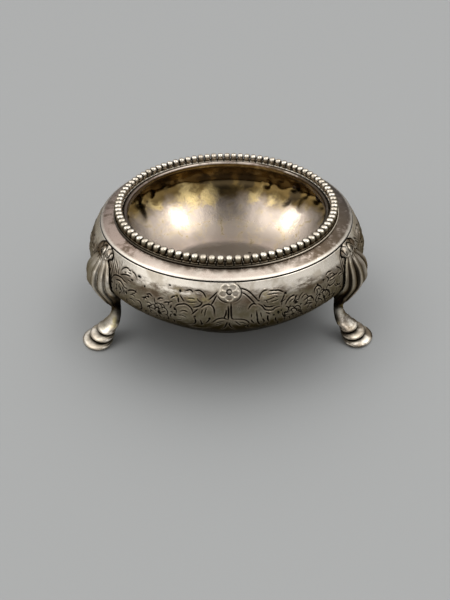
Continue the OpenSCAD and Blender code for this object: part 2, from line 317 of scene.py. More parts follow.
# Leaves left of the rosette
left_lines = [
    [(-6.1, 6.0), (-5.2, 5.3), (-4.2, 5.0), (-3.4, 5.4), (-3.0, 6.2), (-2.9, 7.6)],
    [(-4.0, 8.3), (-4.3, 9.0), (-4.9, 9.9)],
    [(-6.1, 9.0), (-5.9, 10.4), (-6.2, 11.2)],
    [(-7.8, 2.3), (-6.6, 2.1), (-5.6, 2.6), (-4.9, 3.6)],
    [(-9.9, 2.6), (-8.8, 2.2), (-8.0, 2.7)],
    [(-5.7, 4.6), (-6.0, 5.2), (-6.7, 5.7), (-7.8, 6.0)],
    [(-11.0, 3.8), (-10.6, 4.3), (-10.0, 4.9)],
    [(-13.2, 4.8), (-12.7, 4.3), (-12.1, 4.1)],
    [(-11.5, 4.3), (-11.2, 5.4)],
    [(-12.1, 6.7), (-11.5, 6.0), (-10.6, 5.7), (-9.7, 5.5), (-8.8, 5.8), (-8.1, 6.4), (-7.7, 7.4)],
    [(-7.5, 8.2), (-7.2, 9.3), (-7.4, 10.3), (-7.9, 11.1), (-8.8, 11.7), (-9.8, 12.1)],
    [(-6.7, 6.3), (-7.3, 6.9), (-8.0, 7.7)],
    [(-11.7, 10.1), (-11.1, 9.8), (-10.6, 9.6)],
    [(-12.6, 10.3), (-12.6, 11.2), (-12.9, 12.1)],
    [(-12.9, 6.4), (-13.2, 7.1)],
    [(-16.5, 5.9), (-15.9, 5.4), (-15.2, 5.3)],
    [(-14.7, 6.2), (-14.1, 5.9), (-13.4, 5.9)],
    [(-28.7, 4.1), (-27.5, 3.5), (-26.2, 3.2), (-25.3, 3.2)],
    [(-28.9, 3.2), (-28.4, 2.3), (-27.4, 1.8), (-26.4, 1.9)],
    [(-25.4, 1.9), (-24.2, 2.2), (-23.4, 2.8)],
    [(-31.3, 6.0), (-30.9, 5.2), (-30.1, 4.8), (-29.0, 4.6), (-27.8, 4.6), (-26.9, 4.9), (-25.7, 5.1)],
    [(-29.8, 5.8), (-29.0, 5.5), (-28.0, 5.4), (-27.0, 5.8), (-26.2, 6.3), (-25.5, 6.3)],
    [(-29.3, 6.6), (-28.9, 7.4), (-29.3, 8.2)],
    [(-27.6, 6.6), (-27.1, 7.4), (-26.6, 8.2)],
    [(-25.2, 6.7), (-24.4, 6.2), (-23.2, 5.9), (-22.2, 6.1)],
    [(-22.2, 7.8), (-21.2, 7.8), (-20.8, 8.6), (-20.8, 9.5), (-21.3, 10.2), (-22.2, 10.8)],
    [(-20.7, 6.7), (-19.9, 6.4), (-19.2, 6.5)],
    [(-19.6, 5.6), (-18.7, 5.2), (-18.0, 5.6)],
    [(-25.4, 8.9), (-25.7, 9.8), (-25.9, 10.6)],
    [(-17.2, 8.5), (-16.5, 7.8), (-15.6, 8.0)],
    [(-31.7, 2.7), (-30.9, 3.5), (-30.2, 4.2)],
    [(-32.0, 1.8), (-31.0, 2.4), (-30.3, 3.1)],
    [(-30.0, 3.2), (-29.4, 4.2)],
]

# Leaf tips that go on under the belly
under_lines = [
    [(-9.8, 12.1), (-8.4, 13.2), (-6.6, 13.6), (-4.8, 12.8), (-3.8, 11.6)],
    [(4.9, 10.4), (4.6, 12.0), (5.6, 13.6), (7.4, 14.2)],
    [(9.4, 10.6), (9.4, 12.4), (10.6, 13.8), (12.6, 14.0), (14.0, 12.8)],
    [(-12.9, 12.1), (-14.2, 13.6), (-16.4, 14.0), (-18.2, 12.8), (-18.6, 11.2)],
    [(17.9, 10.3), (18.6, 12.0), (20.4, 13.0), (22.4, 12.4), (23.2, 11.0)],
    [(-22.2, 10.8), (-23.0, 12.4), (-24.8, 13.2), (-26.8, 12.6), (-27.8, 11.2)],
    [(25.1, 10.3), (26.2, 12.0), (28.0, 12.6), (29.6, 11.6)],
    [(-11.4, 12.2), (-11.2, 13.6), (-10.2, 15.0)],
    [(12.0, 11.6), (12.2, 13.0), (13.4, 15.2)],
    [(20.6, 9.8), (20.6, 11.2), (21.2, 12.4)],
    [(-20.2, 11.6), (-20.6, 13.2), (-21.8, 14.6)],
]

# Fine strokes on the leaves
vein_lines = [
    [(8.2, 4.65), (9.0, 4.65), (10.0, 4.5), (10.9, 4.3)],
    [(8.8, 4.8), (9.1, 5.3)],
    [(11.1, 4.1), (11.6, 4.5)],
    [(9.8, 5.2), (10.9, 5.1), (11.7, 4.9)],
    [(9.0, 3.6), (10.4, 3.5), (11.8, 3.7)],
    [(5.3, 7.4), (5.2, 8.2)],
    [(7.3, 7.2), (7.5, 8.4)],
    [(-7.0, 3.9), (-6.5, 4.4), (-5.8, 4.7)],
    [(-9.4, 4.9), (-8.2, 4.9), (-7.0, 4.7)],
    [(-9.2, 4.2), (-8.2, 4.0), (-7.4, 4.1)],
    [(-4.7, 5.8), (-5.0, 6.8), (-5.1, 7.7)],
    [(-5.6, 6.2), (-5.9, 7.2)],
    [(-10.8, 7.4), (-9.8, 7.0), (-8.9, 7.2)],
    [(-11.2, 8.4), (-10.2, 8.2), (-9.2, 8.5)],
    [(-10.6, 10.4), (-9.6, 10.2), (-8.6, 10.4)],
    [(18.3, 7.6), (19.2, 7.4), (20.0, 7.6)],
    [(22.0, 5.9), (22.5, 5.6), (23.0, 6.0)],
    [(22.2, 8.2), (22.9, 8.4), (23.4, 9.0)],
    [(26.2, 5.2), (27.4, 5.2), (28.6, 5.2)],
    [(14.2, 6.3), (14.8, 5.9), (15.3, 5.8)],
    [(-27.6, 3.0), (-26.8, 2.8)],
    [(-26.4, 2.6), (-25.2, 2.6)],
    [(-25.8, 4.2), (-24.8, 4.3)],
    [(-28.4, 6.4), (-28.2, 7.2)],
    [(-24.2, 7.2), (-23.4, 6.9), (-22.6, 7.1)],
    [(-24.4, 8.2), (-23.4, 8.0), (-22.4, 8.4)],
    [(-24.0, 9.3), (-23.2, 9.2), (-22.4, 9.5)],
    [(2.6, 9.4), (3.4, 9.6), (4.1, 10.2)],
    [(-2.6, 9.6), (-1.8, 9.2), (-1.0, 9.1)],
    [(-30.9, 5.8), (-30.6, 7.2), (-29.9, 8.8)],
    [(-30.2, 5.6), (-29.9, 7.0), (-29.2, 8.6)],
    [(-28.2, 5.9), (-27.8, 7.0), (-27.0, 8.6)],
    [(-27.2, 6.1), (-26.7, 7.0), (-25.9, 8.2)],
    [(-30.4, 1.6), (-29.8, 2.4), (-29.4, 3.4)],
    [(-29.6, 1.2), (-29.2, 2.2)],
    [(-19.4, 7.4), (-18.6, 7.2), (-17.9, 7.4)],
    [(-19.2, 8.4), (-18.4, 8.2), (-17.7, 8.5)],
    [(27.2, 7.4), (27.0, 8.6), (26.4, 9.8)],
    [(28.4, 7.6), (28.3, 8.8), (27.8, 10.4)],
    [(29.6, 8.0), (29.5, 9.2), (29.0, 10.6)],
    [(27.0, 3.9), (28.0, 3.9)],
    [(18.6, 9.4), (19.6, 9.2), (20.6, 9.3)],
    [(16.6, 6.6), (17.2, 5.6), (18.2, 5.0)],
    [(17.4, 6.4), (18.2, 5.8), (19.2, 5.6)],
]


def flower(middle, size, petals, turned):
    """Outlines of a flower's petals, each with a vein."""
    lines = []
    width = 0.8 * size * sin(pi / petals)
    for k in range(petals):
        turn = turned + 360 * k / petals
        petal = around(middle, PETAL_OUT * size, PETAL_OUT * size, turn)
        lines.append(arc(petal, width, width, turn - 120, turn + 120))
        lines.append([around(middle, share * size, share * size, turn) for share in (0.3, 0.8)])
    return lines


flower_lines = (
    flower((15.2, 9.7), 2.3, 6, 10) + flower((23.7, 8.7), 2.4, 6, 25) + flower((-16.1, 9.2), 2.5, 6, -30)
    + flower((19.6, 11.6), 1.9, 5, 0) + flower((-20.4, 12.4), 2.0, 5, 20)
)

# Plain strokes that frame each panel beside the feet
frame_lines = mirrored([
    [(33.6, 1.2), (32.9, 3.4), (32.6, 5.6), (31.6, 8.4), (29.6, 11.6)],
    [(32.8, 1.6), (32.1, 3.6), (31.8, 5.6), (30.9, 8.2)],
])

# Punched pits: (across, down, half width, half height)
pits = [
    (-11.2, 2.8, 0.3, 0.4), (-11.8, 4.0, 0.26, 0.22), (-12.0, 7.1, 0.36, 0.36), (-12.0, 8.6, 0.45, 0.45),
    (-12.8, 8.0, 0.3, 0.22), (-16.0, 9.1, 0.5, 0.75), (-4.0, 8.3, 0.26, 0.36), (-5.9, 10.4, 0.3, 0.6),
    (-7.3, 8.1, 0.26, 0.22), (4.1, 11.5, 0.24, 0.6), (7.1, 4.6, 0.26, 0.22), (13.7, 4.0, 0.42, 0.32),
    (15.5, 5.0, 0.4, 0.2), (16.1, 5.4, 0.36, 0.22), (16.0, 6.8, 0.5, 0.42), (12.2, 7.75, 0.22, 0.22),
    (10.4, 8.5, 0.26, 0.26), (7.8, 11.7, 0.26, 0.5), (11.5, 8.1, 0.3, 0.5), (13.3, 8.6, 0.6, 0.35),
    (13.2, 9.6, 0.35, 0.5), (15.2, 9.7, 0.5, 0.55), (19.6, 11.6, 0.4, 0.5), (20.3, 6.95, 0.32, 0.28),
    (22.6, 4.6, 0.32, 0.22), (24.7, 4.35, 0.36, 0.26), (27.5, 9.7, 0.4, 0.7), (23.9, 8.2, 0.4, 0.45),
    (-22.7, 2.3, 0.6, 0.28), (-26.1, 2.0, 0.45, 0.2), (-24.5, 3.75, 0.45, 0.2), (-25.6, 7.3, 0.32, 0.45),
    (-27.3, 7.2, 0.22, 0.22), (-20.5, 3.9, 0.26, 0.26), (-19.0, 5.9, 0.3, 0.3), (-29.1, 8.1, 0.36, 0.3),
    (-14.0, 2.0, 0.3, 0.22), (17.2, 7.6, 0.26, 0.22),
]

# Raised leaves: (across, down, half width, half height, height)
swells = [
    (*ROSETTE, 1.25 * ROSETTE_W, 1.25 * ROSETTE_H, 0.2), (10.3, 4.5, 3.4, 1.9, 0.2),
    (-9.6, 8.7, 2.5, 3.0, 0.22), (-7.6, 4.0, 2.8, 1.8, 0.18), (-23.2, 8.0, 2.5, 2.2, 0.22),
    (-28.2, 6.6, 2.6, 1.9, 0.18), (6.5, 8.2, 2.1, 2.9, 0.18), (19.3, 7.3, 1.6, 1.0, 0.15),
    (22.3, 6.1, 1.3, 1.2, 0.15),
    (24.2, 8.2, 2.0, 1.6, 0.15), (14.8, 6.0, 1.4, 1.0, 0.15), (27.8, 5.2, 2.6, 1.7, 0.16),
    (-4.6, 7.4, 1.7, 2.3, 0.18), (-26.3, 3.3, 2.7, 1.4, 0.15), (2.9, 10.1, 2.1, 1.6, 0.15),
    (-2.2, 9.8, 1.6, 1.5, 0.15), (15.3, 9.2, 1.3, 1.2, 0.15), (-18.8, 7.4, 1.8, 1.6, 0.12),
    (-15.9, 6.6, 1.6, 1.2, 0.12), (-12.6, 4.9, 1.2, 0.9, 0.12), (10.0, 9.4, 1.1, 1.6, 0.12),
]

# How strongly the swellings stand out and how strongly they show inside the bowl,
# and how pointed a swelling and a dent are
LEAF_RISE = 1.1
INSIDE_DENT = 1.4
LEAF_POINT = 1.2
DENT_POINT = 1.5

# Dents of the inside wall: (azimuth, height, radius, depth outwards)
dents = [
    (68, 18.4, 1.6, 0.5), (68, 18.4, 3.2, -0.25), (60, 19.6, 2.2, -0.3), (53, 19.4, 2.0, 0.35),
    (45, 16.2, 2.4, -0.25), (39, 18.6, 1.8, 0.35), (56, 15.6, 2.0, 0.25), (30, 17.5, 2.0, 0.3),
    (131, 18.6, 1.6, -0.35), (137, 17.0, 1.3, 0.4), (142, 15.5, 2.6, -0.4), (149, 17.4, 1.8, 0.35),
    (122, 20.5, 2.0, 0.2), (104, 19.8, 2.2, -0.15),
]

# Small strokes that fill the ground beside the feet, at places drawn by lot, always the same ones
FILL_LENGTH = 1.7
FILL_BEND = 0.4
FILL_APART = 1.7
FILL_ACROSS = (12, 31)
FILL_DOWN = (6, 13)
FILL_TRIES = 900
fill_luck = np.random.default_rng(5)
fill_places, fill_lines = [], []
for _ in range(FILL_TRIES):
    middle = np.array([fill_luck.uniform(-FILL_ACROSS[1], FILL_ACROSS[1]), fill_luck.uniform(*FILL_DOWN)])
    clear = all(np.linalg.norm(middle - other) > FILL_APART for other in fill_places)
    if abs(middle[0]) > FILL_ACROSS[0] and clear:
        fill_places.append(middle)
        turn = fill_luck.uniform(0.1, 1.2) * fill_luck.choice((-1, 1))
        ahead = FILL_LENGTH / 2 * np.array([sin(turn), cos(turn)])
        aside = FILL_BEND * fill_luck.choice((-1, 1)) * np.array([cos(turn), -sin(turn)])
        fill_lines.append([middle - ahead, middle + aside, middle + ahead])

# Half width and depth of the strokes, and half width and height of a thread
LINER = (0.21, 0.24)
UNDER_LINER = (0.22, 0.18)
VEINER = (0.19, 0.17)
THREAD = (0.15, 0.16)

# Depth of a pit and of a hollow petal, height of a burr as a share of its stroke's depth,
# width of the dark ground beside a stroke, and how far from its box a stroke is looked for
PIT_DEPTH = 0.36
HOLLOW_DEPTH = 0.1
BURR_SHARE = 0.4
GROUND_W = 0.5
STROKE_REACH = 1.3

chased = (
    [(line, LINER) for line in rosette_eye + stem_lines + right_lines + left_lines]
    + [(line, UNDER_LINER) for line in under_lines + frame_lines]
    + [(line, VEINER) for line in rosette_rings + vein_lines + flower_lines + fill_lines]
)


def to_line(across, down, line):
    """For each point its distance from a line and the share of the line that lies before it."""
    a, b = line[:-1, None], line[1:, None]
    way = b - a
    p = np.stack([across, down], -1)[None]
    t = np.clip(((p - a) * way).sum(-1) / (way**2).sum(-1), 0, 1)
    away = np.linalg.norm(p - a - t[..., None] * way, axis=-1)
    nearest = away.argmin(0)
    each = np.arange(len(across))
    return away[nearest, each], (nearest + t[nearest, each]) / len(a)


def bump(across, down, place):
    """1 at the middle of an oval and 0 at its edge and beyond."""
    reach = ((across - place[0]) / place[2]) ** 2 + ((down - place[1]) / place[3]) ** 2
    return np.clip(1 - reach, 0, 1)


def close_to(across, down, line):
    """Which points lie so near to a line that it shows there."""
    low, high = line.min(axis=0) - STROKE_REACH, line.max(axis=0) + STROKE_REACH
    return np.flatnonzero((across > low[0]) & (across < high[0]) & (down > low[1]) & (down < high[1]))


def chase(across, down):
    """Height of the chased belly over the plain one, and by point: in a stroke, near one, on a thread."""
    raised = LEAF_RISE * sum(place[4] * bump(across, down, place) ** LEAF_POINT for place in swells)
    cut, burr, near_stroke, thread = np.zeros((4, len(across)))

    # A stroke fades at its ends and throws up a burr on either side
    for points, (half, depth) in chased:
        line = through(points, 5)
        near = close_to(across, down, line)
        away, share = to_line(across[near], down[near], line)
        full = np.clip(0.5 + 3 * np.minimum(share, 1 - share), 0, 1)
        cut[near] = np.maximum(cut[near], depth * full * np.clip(1 - away / (half * full), 0, 1))
        ridge = BURR_SHARE * depth * full * np.exp(-(((away - 1.5 * half) / (0.5 * half)) ** 2))
        burr[near] = np.maximum(burr[near], ridge)
        ground = depth / LINER[1] * np.exp(-((away / GROUND_W) ** 2))
        near_stroke[near] = np.maximum(near_stroke[near], ground)
    for place in pits:
        cut = np.maximum(cut, PIT_DEPTH * bump(across, down, place))

    # The rosette's threads stand up round its hollow petals
    for points in rosette_threads:
        line = through(points, 5)
        near = close_to(across, down, line)
        away = to_line(across[near], down[near], line)[0]
        thread[near] = np.maximum(thread[near], np.exp(-((away / THREAD[0]) ** 2)))
    hollow = np.clip(sum(2 * bump(across, down, place) for place in petal_pits), 0, 1)
    thread = np.maximum(thread, burr / LINER[1] * (hollow == 0))

    # The incised line above it all
    cut = np.maximum(cut, LINE_DEPTH * np.clip(1 - down / (LINE_W / 2), 0, 1))
    depth = np.clip(cut / LINER[1], 0, 1)
    height = raised + np.maximum(burr * (1 - depth), THREAD[1] * thread) - cut - HOLLOW_DEPTH * hollow
    return height, depth, np.clip(np.maximum(near_stroke - 1.5 * raised, hollow - thread), 0, 1), thread


def wobble(azimuth, down, seed, size):
    """Gentle unevenness of hand-raised sheet."""
    luck = np.random.default_rng(seed)
    total = np.zeros_like(azimuth)
    for waves in (3, 5, 9, 14, 23, 37):
        slope, phase, lean = luck.uniform(0.15, 0.6), luck.uniform(0, 2 * pi), luck.choice((-1, 1))
        total += np.sin(waves * azimuth + lean * slope * down + phase) / sqrt(waves)
    return size * total


def on_panel(at):
    """Millimetres across from the middle of the nearest panel."""
    azimuth = np.degrees(np.arctan2(at[:, 1], at[:, 0]))
    turned = [(azimuth - middle + 180) % 360 - 180 for middle in PANEL_MIDDLES]
    nearest = np.abs(turned).argmin(0)
    return np.radians(np.choose(nearest, turned)) * BELLY_R


# The belly's outline, and how far each of its points lies down from the incised line, from the top
SIDE = Outline(floor_steps=2, side_steps=300, shoulder_steps=2).side
SIDE_RUN = np.concatenate([[0], np.cumsum(np.linalg.norm(np.diff(SIDE[::-1], axis=0), axis=1))])


def side_at(down):
    """Profile of the belly at distances down from the incised line."""
    return np.stack([np.interp(down, SIDE_RUN, SIDE[::-1, k]) for k in (0, 1)], 1)


def down_at(height):
    """Distances down the belly from the incised line, at heights."""
    return np.interp(height, SIDE[:, 1], SIDE_RUN[::-1])


# The belly's chased skin: its thickness, the room behind it, how far down it is chased,
# and its rows of points, outside and inside
SKIN = 0.45
SKIN_ROOM = 0.05
CHASED_DOWN = 14.5
groove_rows = [0, 0.07, 0.15, 0.22]
fine_rows = np.linspace(0.3, CHASED_DOWN, 98)
HALF_WAY = 49
INNER_ROWS = 9
belts = {
    "bowl_belt_upper": (np.concatenate([groove_rows, fine_rows[:HALF_WAY + 1]]), FINE_STEPS),
    "bowl_belt_middle": (fine_rows[HALF_WAY:], FINE_STEPS),
    "bowl_belt_lower": (np.linspace(CHASED_DOWN, SIDE_RUN[-1], 16), PLAIN_STEPS),
}

# Unevenness of the belly and of the inside
BELLY_WOBBLE = 0.012
INSIDE_WOBBLE = 0.035

# Painted shade in the crevice beside the feet: its width, and the height from which it shows
CREVICE_W = 0.7
CREVICE_Z = 9


def bowl_belts(material):
    """The chased side of the bowl, from the incised line to the base, as three closed rings."""
    for name, (rows, steps) in belts.items():
        inner = moved_in(side_at(np.linspace(rows[-1], rows[0], INNER_ROWS)), SKIN)
        mesh = spun(np.vstack([side_at(rows), inner]), steps)
        at = places(mesh)
        radius, azimuth = np.hypot(at[:, 0], at[:, 1]), np.arctan2(at[:, 1], at[:, 0])
        down = down_at(at[:, 2])
        outside = radius > side_at(down)[:, 0] - SKIN / 4
        by_point = np.zeros((4, len(at)))
        by_point[:, outside] = chase(on_panel(at[outside]), down[outside])
        height, cut, near, thread = by_point
        height += outside * wobble(azimuth, down, seed=4, size=BELLY_WOBBLE) * np.clip(down / 3, 0, 1)

        # The relief stands square to the plain belly
        inwards = np.stack([np.interp(down, SIDE_RUN, way) for way in (moved_in(SIDE, 1) - SIDE)[::-1].T], 1)
        out = -inwards * height[:, None]
        move(mesh, at + turned_round(out[:, 0], azimuth, out[:, 1]))
        made = piece(name, mesh, "bowl_silver", "bowl", material)
        made.data.set_sharp_from_angle(angle=radians(60))
        # The cut mark also carries painted shade beside the feet
        mark(made, "cut", np.maximum(cut, outside * shade_beside_feet(at)))
        mark(made, "near", near)
        mark(made, "thread", thread)


def shade_beside_feet(at):
    """Painted shade: 1 on the belly under a foot's edge, falling to 0 a little way beside it."""
    upper = foot_stations()[0][::-1]
    half = np.interp(at[:, 2], upper[:, 0], upper[:, 3])
    to_foot = radians(HALF_PANEL) * BELLY_R - np.abs(on_panel(at))
    beside = to_foot * np.hypot(at[:, 0], at[:, 1]) / BELLY_R - half
    return np.clip(1 - beside / CREVICE_W, 0, 1) * np.clip((at[:, 2] - CREVICE_Z) / 2, 0, 1)


def groove(profile):
    """A profile that starts at the incised line, with its first points sunk into the line's groove."""
    run = np.linalg.norm(profile - profile[0], axis=1)
    return profile - LINE_DEPTH * np.clip(1 - run / (LINE_W / 2), 0, 1)[:, None] * (0, 1)


def bowl_sheet(silver, gilt):
    """The rest of the bowl: underside, shoulder, lip and the gilt inside."""
    outline = Outline(floor_steps=10, side_steps=40, shoulder_steps=30)
    behind_skin = moved_in(outline.side, SKIN + SKIN_ROOM)[1:-1:4]
    lip = arc((NECK_R - LIP_W / 2, LIP_Z - LIP_W / 2), LIP_W / 2, LIP_W / 2, 0, 180)
    inside = moved_in(np.vstack([outline.floor, outline.side, outline.shoulder[1:]]), WALL)[::-1]
    inside[-1, 0] = 0
    mesh = spun(np.vstack([
        outline.floor, outline.side[:1], behind_skin, groove(outline.shoulder),
        [(NECK_R, SEAT_Z)], lip, [(MOUTH_R, SEAT_Z - WALL)], inside[1:],
    ]), PLAIN_STEPS, closed=False)

    # The inside shows the leaves from behind, and the dents of use
    at = places(mesh)
    radius, azimuth = np.hypot(at[:, 0], at[:, 1]), np.arctan2(at[:, 1], at[:, 0])
    down = down_at(at[:, 2])
    inner = (radius > MOUTH_R) & (radius < side_at(down)[:, 0] - 0.8 * WALL)
    inner &= (at[:, 2] > BASE_Z + WALL) & (at[:, 2] < LINE_Z - WALL)
    across = on_panel(at)
    pushed = INSIDE_DENT * sum(place[4] * bump(across, down, place) for place in swells)
    pushed += wobble(azimuth, down, seed=7, size=INSIDE_WOBBLE)
    for turn, height, reach, depth in dents:
        beside = np.radians((np.degrees(azimuth) - turn + 180) % 360 - 180) * radius
        pushed += depth * bump(beside, at[:, 2], (0, height, reach, reach)) ** DENT_POINT
    move(mesh, at + turned_round(inner * pushed, azimuth))

    # Gilding covers the floor and all that faces the axis below the lip's top
    made = piece("bowl_sheet", mesh, "bowl_silver", "bowl", silver, gilt)
    gilt_below = LIP_Z - 0.7 * LIP_W
    for face in made.data.polygons:
        c = face.center / MM
        radial = face.normal.xy.dot(c.xy) / c.xy.length
        on_floor = face.normal.z > 0.5 and c.z < BELLY_Z / 2
        face.material_index = int(c.z < gilt_below and (radial < -0.02 or on_floor))


class Value:
    """A shader socket that can stand in sums and products."""

    def __init__(self, nodes, socket):
        self.nodes, self.socket = nodes, socket

    def __add__(self, other):
        return self.nodes.maths("ADD", self, other)

    def __sub__(self, other):
        return self.nodes.maths("SUBTRACT", self, other)

    def __rsub__(self, other):
        return self.nodes.maths("SUBTRACT", other, self)

    def __mul__(self, other):
        return self.nodes.maths("MULTIPLY", self, other)

    def __truediv__(self, other):
        return self.nodes.maths("DIVIDE", self, other)

    def __rtruediv__(self, other):
        return self.nodes.maths("DIVIDE", other, self)

    __radd__ = __add__
    __rmul__ = __mul__


class Nodes:
    """A node tree, built up node by node."""

    def __init__(self, tree, coordinates):
        self.tree = tree
        self.where = self.node("ShaderNodeTexCoord").outputs[coordinates]

    def node(self, kind, settings=None, inputs=None):
        made = self.tree.nodes.new(kind)
        for key, value in (settings or {}).items():
            setattr(made, key, value)
        for key, value in (inputs or {}).items():
            self.feed(made.inputs[key], value)
        return made

    def feed(self, socket, value):
        if isinstance(value, Value):
            value = value.socket
        if isinstance(value, bpy.types.NodeSocket):
            self.tree.links.new(value, socket)
        elif socket.type == "RGBA":
            socket.default_value = (*value, 1)
        else:
            socket.default_value = value

    def maths(self, operation, *values):
        made = self.node("ShaderNodeMath", {"operation": operation}, dict(enumerate(values)))
        return Value(self, made.outputs[0])

    def larger(self, a, b):
        return self.maths("MAXIMUM", a, b)

    def fit(self, value, start, end, low=0, high=1):
        """Turns start..end into low..high, smoothly and no further."""
        values = dict(enumerate((value, start, end, low, high)))
        made = self.node("ShaderNodeMapRange", {"interpolation_type": "SMOOTHSTEP"}, values)
        return Value(self, made.outputs[0])

    def xyz(self):
        return (Value(self, part) for part in self.node("ShaderNodeSeparateXYZ", {}, {0: self.where}).outputs)


class Finish(Nodes):
    """One procedural material: a base colour, with others laid over parts of it."""

    def __init__(self, name, colour, **constants):
        self.material = bpy.data.materials.new(name)
        self.material.use_nodes = True
        super().__init__(self.material.node_tree, "Object")
        self.shader = self.tree.nodes["Principled BSDF"]
        self.colour = colour
        for socket, value in constants.items():
            self.feed(self.shader.inputs[socket.replace("_", " ")], value)

    def lay(self, colour, share):
        """Lays a colour over the last one, by a share. The node's colours are sockets 6, 7 and 2."""
        made = self.node("ShaderNodeMix", {"data_type": "RGBA"}, {0: share, 6: self.colour, 7: colour})
        self.colour = made.outputs[2]

    def noise(self, scale, detail=3, roughness=0.55, stretch=(1, 1, 1), distortion=0):
        """Noise with `scale` waves in a metre."""
        stretched = self.node("ShaderNodeMapping", {}, {"Vector": self.where, "Scale": stretch})
        made = self.node("ShaderNodeTexNoise", {}, {
            "Vector": stretched.outputs[0], "Scale": scale, "Detail": detail, "Roughness": roughness,
            "Distortion": distortion,
        })
        return Value(self, made.outputs[0])

    def attribute(self, name):
        return Value(self, self.node("ShaderNodeAttribute", {"attribute_name": name}).outputs["Fac"])

    def place(self):
        """Distance from the bowl's axis, height, and places to the right and to the back, in millimetres."""
        x, y, z = self.xyz()
        return self.maths("SQRT", x * x + y * y) / MM, z / MM, x / MM, y / MM

    def spots(self, stains, wall_r):
        """Soft round patches, 1 in the middle, at (azimuth, height, radius) on an upright wall."""
        total = 0
        for turn, height, reach in stains:
            middle = Vector((*around((0, 0), wall_r, wall_r, turn), height)) * MM
            away = self.node("ShaderNodeVectorMath", {"operation": "DISTANCE"}, {0: self.where, 1: middle})
            total = self.larger(total, self.fit(Value(self, away.outputs["Value"]), reach * MM, 0))
        return total

    def bumped(self, height, distance):
        made = self.node("ShaderNodeBump", {}, {"Height": height, "Distance": distance, "Strength": 1})
        self.feed(self.shader.inputs["Normal"], made.outputs[0])

    def done(self, roughness):
        self.feed(self.shader.inputs["Base Color"], self.colour)
        self.feed(self.shader.inputs["Roughness"], roughness)
        return self.material


# Colours of the metal, of what has settled on it, of painted shade and painted dark reflections, and of the
# floor
BRIGHT_SILVER = (0.90, 0.825, 0.70)
WARM_SILVER = (0.62, 0.54, 0.42)
ROSE_SILVER = (0.56, 0.47, 0.39)
GRAZED_SILVER = (0.36, 0.32, 0.26)
YELLOW_TARNISH = (0.5, 0.42, 0.2)
ROSE_TARNISH = (0.40, 0.30, 0.25)
OLIVE_TARNISH_AND_SHADE = (0.31, 0.27, 0.185)
OLIVE_GROUND = (0.165, 0.138, 0.082)
BROWN_TARNISH_AND_SHADE = (0.115, 0.08, 0.05)
DARK_OLIVE = (0.045, 0.038, 0.026)
DEEP_BROWN = (0.045, 0.033, 0.02)
BLACK_TARNISH_AND_SHADE = (0.012, 0.010, 0.007)
BRIGHT_GOLD = (0.84, 0.64, 0.29)
WORN_GOLD = (0.52, 0.39, 0.17)
DARK_GOLD = (0.2, 0.13, 0.045)
FLOOR_GREY = (0.35, 0.355, 0.345)

# Stains: (azimuth, height, radius) in degrees and millimetres, and the radius of the wall they lie on
BELLY_STAIN_R = BELLY_R - 1
yellow_stains = [(251, 24.3, 2.6), (257, 23.8, 2.2), (262, 23.9, 1.6), (284, 24.6, 2.0), (214, 23.4, 2.0)]
brown_stains = [
    (236, 25.0, 4.0), (244, 24.8, 6.0), (253, 25.0, 6.5), (261, 24.8, 4.5), (279, 25.2, 4.0),
    (288, 25.4, 5.0), (301, 25.0, 4.5),
]
SHOULDER_STAIN_R = NECK_R + 1
shoulder_stains = [
    (246, 28.4, 4.6), (255, 28.2, 4.8), (264, 28.2, 4.6), (273, 28.4, 4.2), (284, 28.6, 3.8),
    (300, 28.4, 5.0),
]
INSTEP_R = 35
instep_stains = [(-32, 7.5, 3.6), (-36, 5.0, 3.2), (214, 6.0, 2.4)]

# Patches of the inside wall: where gold is left; dark and brown ones, partly stains and partly painted dark
# reflections of the room; and specks near its floor
INSIDE_R = BELLY_R - 2.5 * WALL
gold_patches = [(99, 13.8, 6.0), (111, 14.2, 6.0), (74, 14.0, 4.6), (64, 13.8, 4.0), (130, 15.5, 4.0)]
dark_stains_and_reflections = [
    (66, 18.4, 4.4), (75, 18.8, 5.0), (58, 17.6, 4.0), (49, 16.8, 4.4), (43, 19.0, 5.0), (118, 20.0, 4.5),
    (128, 18.6, 5.0), (104, 20.0, 5.0), (88, 17.6, 6.5), (141, 20.0, 2.2), (142, 18.4, 2.0), (143, 16.8, 2.0),
    (144, 15.2, 1.8),
]
brown_stains_and_reflections = [(92, 18.8, 5.5), (79, 19.2, 5.0), (101, 19.6, 4.0), (52, 17.4, 3.6), (122, 20.5, 4.0)]
SPECK_R = 17
specks = [(112, 6.6, 1.0), (66, 4.3, 1.0), (84, 5.4, 0.6), (60, 6.5, 0.6)]


